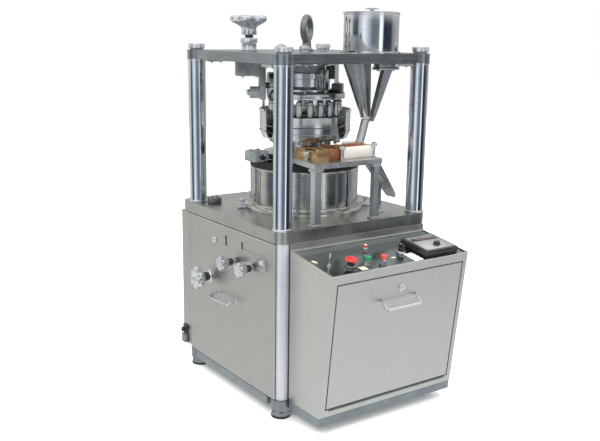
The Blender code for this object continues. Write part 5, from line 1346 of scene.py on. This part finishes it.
# Gunmetal bronze: golden tan, with browner wiped patches and bright worked edges.
bronze = worked_metal("gunmetal_machined", "E0C194", "AE8153", 0.34, (3.0, 24, 30), 0.12, 0.14, 0.6)
dress("feed_frame", bronze)
box_low, box_high = (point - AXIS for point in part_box("feed_box"))
brown = coated("brown_phenolic_machined", "8A5636", "5F3821", 0.42, 5.0, 0.12, worn="B98A62")
heap = coated("pharmacy_powder_pressed", "E9E2C8", "CFC7A6", 0.85, 1.5, 0.5)

rails = bmesh.new()
for low, high, tone in (
        ((-0.149, -0.2915, 1.0203), (-0.024, -0.2815, 1.0340), 0),
        ((-0.149, -0.2815, 1.0203), (-0.140, -0.160, 1.0280), 0),
        ((-0.106, -0.2810, 1.0203), (-0.100, -0.165, 1.0300), 0),
        ((-0.068, -0.2810, 1.0203), (-0.062, -0.165, 1.0300), 0),
        ((-0.138, -0.1640, 1.0203), (-0.030, -0.156, 1.0270), 0),
        ((-0.056, -0.2900, 1.0345), (-0.024, -0.252, 1.0460), 1),
        ((-0.046, -0.2500, 1.0203), (-0.024, -0.180, 1.0400), 1),
        ((-0.088, -0.2940, 0.9928), (-0.0238, -0.2810, 1.0360), 1)):
    put(rails, block(low, high, 0.0014, 2, tone))
for x, y in ((-0.1420, -0.2865), (-0.0780, -0.2865), (-0.0350, -0.1600), (-0.1280, -0.1600)):
    put(rails, cap_screw(0.0042, 0.0040, 2), shift(x, y, 1.0270 if y > -0.2 else 1.0338))
piece("feed_frame_rails", rails, (bronze, brown, bright_chrome))
scraper = bmesh.new()
put(scraper, block((-0.020, box_low.y - 0.0002, box_high.z + 0.0002),
                   (0.070, box_low.y + 0.012, box_high.z + 0.012),
                   0.0020, 2, 1))
put(scraper, block((0.030, box_high.y - 0.022, box_high.z + 0.0002),
                   (0.120, box_high.y - 0.004, box_high.z + 0.010),
                   0.0020, 2, 0))
put(scraper, block((-0.020, -0.300, 1.0000), (0.126, -0.3004, 1.0035), 0.0001, 1, 0))
for x in (0.000, 0.110):
    put(scraper, cap_screw(0.0040, 0.0040, 2),
        shift(x, box_low.y + 0.0065 if x < 0.05 else box_high.y - 0.012,
                                                    box_high.z + (0.0118 if x < 0.05 else 0.0098)))
piece("feed_box_rails", scraper, (nylon, brown, bright_chrome))
powder = bmesh.new()
bmesh.ops.create_grid(powder, x_segments=40, y_segments=22, size=1.0)
inner_low = Vector((box_low.x + 0.0046, box_low.y + 0.0046, box_low.z + 0.0050))
inner_high = Vector((box_high.x - 0.0046, box_high.y - 0.0046, box_low.z + 0.0300))
for vert in powder.verts:
    across, deep = vert.co.x, vert.co.y
    hump = max(0.0, 1.0 - (across - 0.30) ** 2 * 1.1 - deep ** 2 * 0.6)
    ripple = 0.0012 * math.sin(across * 17.0 + deep * 9.0) * math.cos(deep * 13.0)
    vert.co = (inner_low.x + (inner_high.x - inner_low.x) * (across + 1) / 2,
               inner_low.y + (inner_high.y - inner_low.y) * (deep + 1) / 2,
               inner_low.z + 0.006 + 0.020 * hump + ripple)
skirted = bmesh.ops.extrude_face_region(powder, geom=powder.faces[:])
for part in skirted["geom"]:
    if isinstance(part, bmesh.types.BMVert):
        part.co.z = inner_low.z
bmesh.ops.recalc_face_normals(powder, faces=powder.faces)
piece("powder_in_box", powder, heap, bend=60)

# Thumb screws of silver steel hold the frame and the box down; their heads stand well above them.


def thumb_screw(x, y, low, high):
    """A knurled thumb screw on its pillar, from low to high."""
    shape = turned([(0.0, low), (0.0085, low), (0.0085, low + 0.003), (0.0055, low + 0.005),
                    (0.0055, high - 0.020), (0.0075, high - 0.018), (0.0, high - 0.018)], 32)
    head = lobed([(high - 0.0185, 0.0110, 0.0), (high - 0.0170, 0.0125, 0.0008),
                  (high - 0.0060, 0.0125, 0.0008),
                  (high - 0.0045, 0.0112, 0.0), (high - 0.0020, 0.0075, 0.0), (high, 0.0050, 0.0)], 20, 80)
    put(shape, head)
    return put(bmesh.new(), shape, shift(x, y, 0.0))


screws = thumb_screw(-0.0330, -0.3000, 0.9925, 1.0480)
put(screws, thumb_screw(0.1290, -0.3020, 0.9925, 1.0520))
put(screws, thumb_screw(0.1330, -0.2030, 0.9925, 1.0560))
put(screws, thumb_screw(-0.1600, -0.2400, 0.9925, 1.0300))
piece("feed_thumb_screws", screws, bright_chrome)

# The table's folded lip, the feet of its posts, and their hold-down screws.
table_low, table_high = (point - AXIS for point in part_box("feed_table"))
front = table_low.y
feet = bmesh.new()
for low_x, wide in ((-0.200, 0.030), (0.090, 0.024)):
    middle_x, middle_y = low_x + wide / 2, front + 0.005 + wide / 2
    reach = wide / 2 + 0.009
    put(feet, block((middle_x - reach, middle_y - wide / 2 - 0.003, deck_top + 0.0003),
                    (middle_x + reach, middle_y + wide / 2 + 0.003, deck_top + 0.0070), 0.0015))
    put(feet, block((middle_x - reach, middle_y - wide / 2 - 0.003, table_high.z - 0.0300),
                    (middle_x + reach, middle_y + wide / 2 + 0.003, table_high.z - 0.0204), 0.0015))
    for step in (-1, 1):
        put(feet, cap_screw(0.0038, 0.0036), shift(middle_x + step * (wide / 2 + 0.0048), middle_y,
                                                   deck_top + 0.0068))
piece("post_feet", feet, table_steel)

# The discharge chute: folded edges, and a screwed bracket on the table's end.
chute_low, chute_high = (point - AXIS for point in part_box("discharge_chute"))
bracket = bmesh.new()
put(bracket, block((table_high.x + 0.0004, chute_low.y + 0.010, 0.9560),
                   (table_high.x + 0.0034, chute_high.y - 0.010,
                                                                          0.9860), 0.0008))
for y in (chute_low.y + 0.022, chute_high.y - 0.022):
    put(bracket, cap_screw(0.0036, 0.0024), shift(table_high.x + 0.0034, y, 0.9740)
        @ swing(90, "Y"))
put(bracket, block((0.186, chute_low.y + 0.014, deck_top + 0.0003),
                   (0.216, chute_low.y + 0.046, deck_top + 0.0045),
                   0.0012))
piece("chute_bracket", bracket, hem_steel)

# ---------------------------------------------------------------- drive in the cabinet
# A flanged motor turns the worm shaft by a flat belt; the gearbox above it turns the turret. All of it is
# hidden by the panels, and shows only past the open door.
motor_paint = coated("blue_grey_enamel_sprayed", "56636B", "434E55", 0.45, 3.0, 0.15, worn="8C9397")
dress("motor", motor_paint)
dress("gearbox", cast_iron)
dress("drive_belt", rubber)
pulley_iron = worked_metal("grey_iron_turned", "8B8E8F", "5E6263", 0.38, (3.0, 3.0, 3.0), 0.15, 0.12, 0.5)
dress("worm_pulley", pulley_iron)
dress("motor_pulley", pulley_iron)
fins = bmesh.new()
for count in range(14):
    turn = math.radians(-60 + 300 * count / 13)
    put(fins, block((-0.070, -0.0012, 0.0745), (0.120, 0.0012, 0.0795), 0.0006),
        shift(0.0, 0.160, 0.190) @ Matrix.Rotation(turn, 4, "X"))
piece("motor_fins", fins, motor_paint)
case_low, case_high = (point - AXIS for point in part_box("gearbox"))
cover = bmesh.new()
put(cover, block((case_low.x + 0.015, case_low.y - 0.0060, case_low.z + 0.020),
                 (case_high.x - 0.015, case_low.y - 0.0003,
                                                                               case_high.z - 0.060), 0.002))
for x in (case_low.x + 0.030, 0.0, case_high.x - 0.030):
    for z in (case_low.z + 0.036, case_high.z - 0.076):
        put(cover, cap_screw(0.0060, 0.0060), shift(x, case_low.y - 0.0058, z) @ swing(90, "X"))
piece("gearbox_cover", cover, cast_iron)

# ---------------------------------------------------------------- the CAD's box
# The CAD's box, taken before any piece was added.
low, high = cad_box
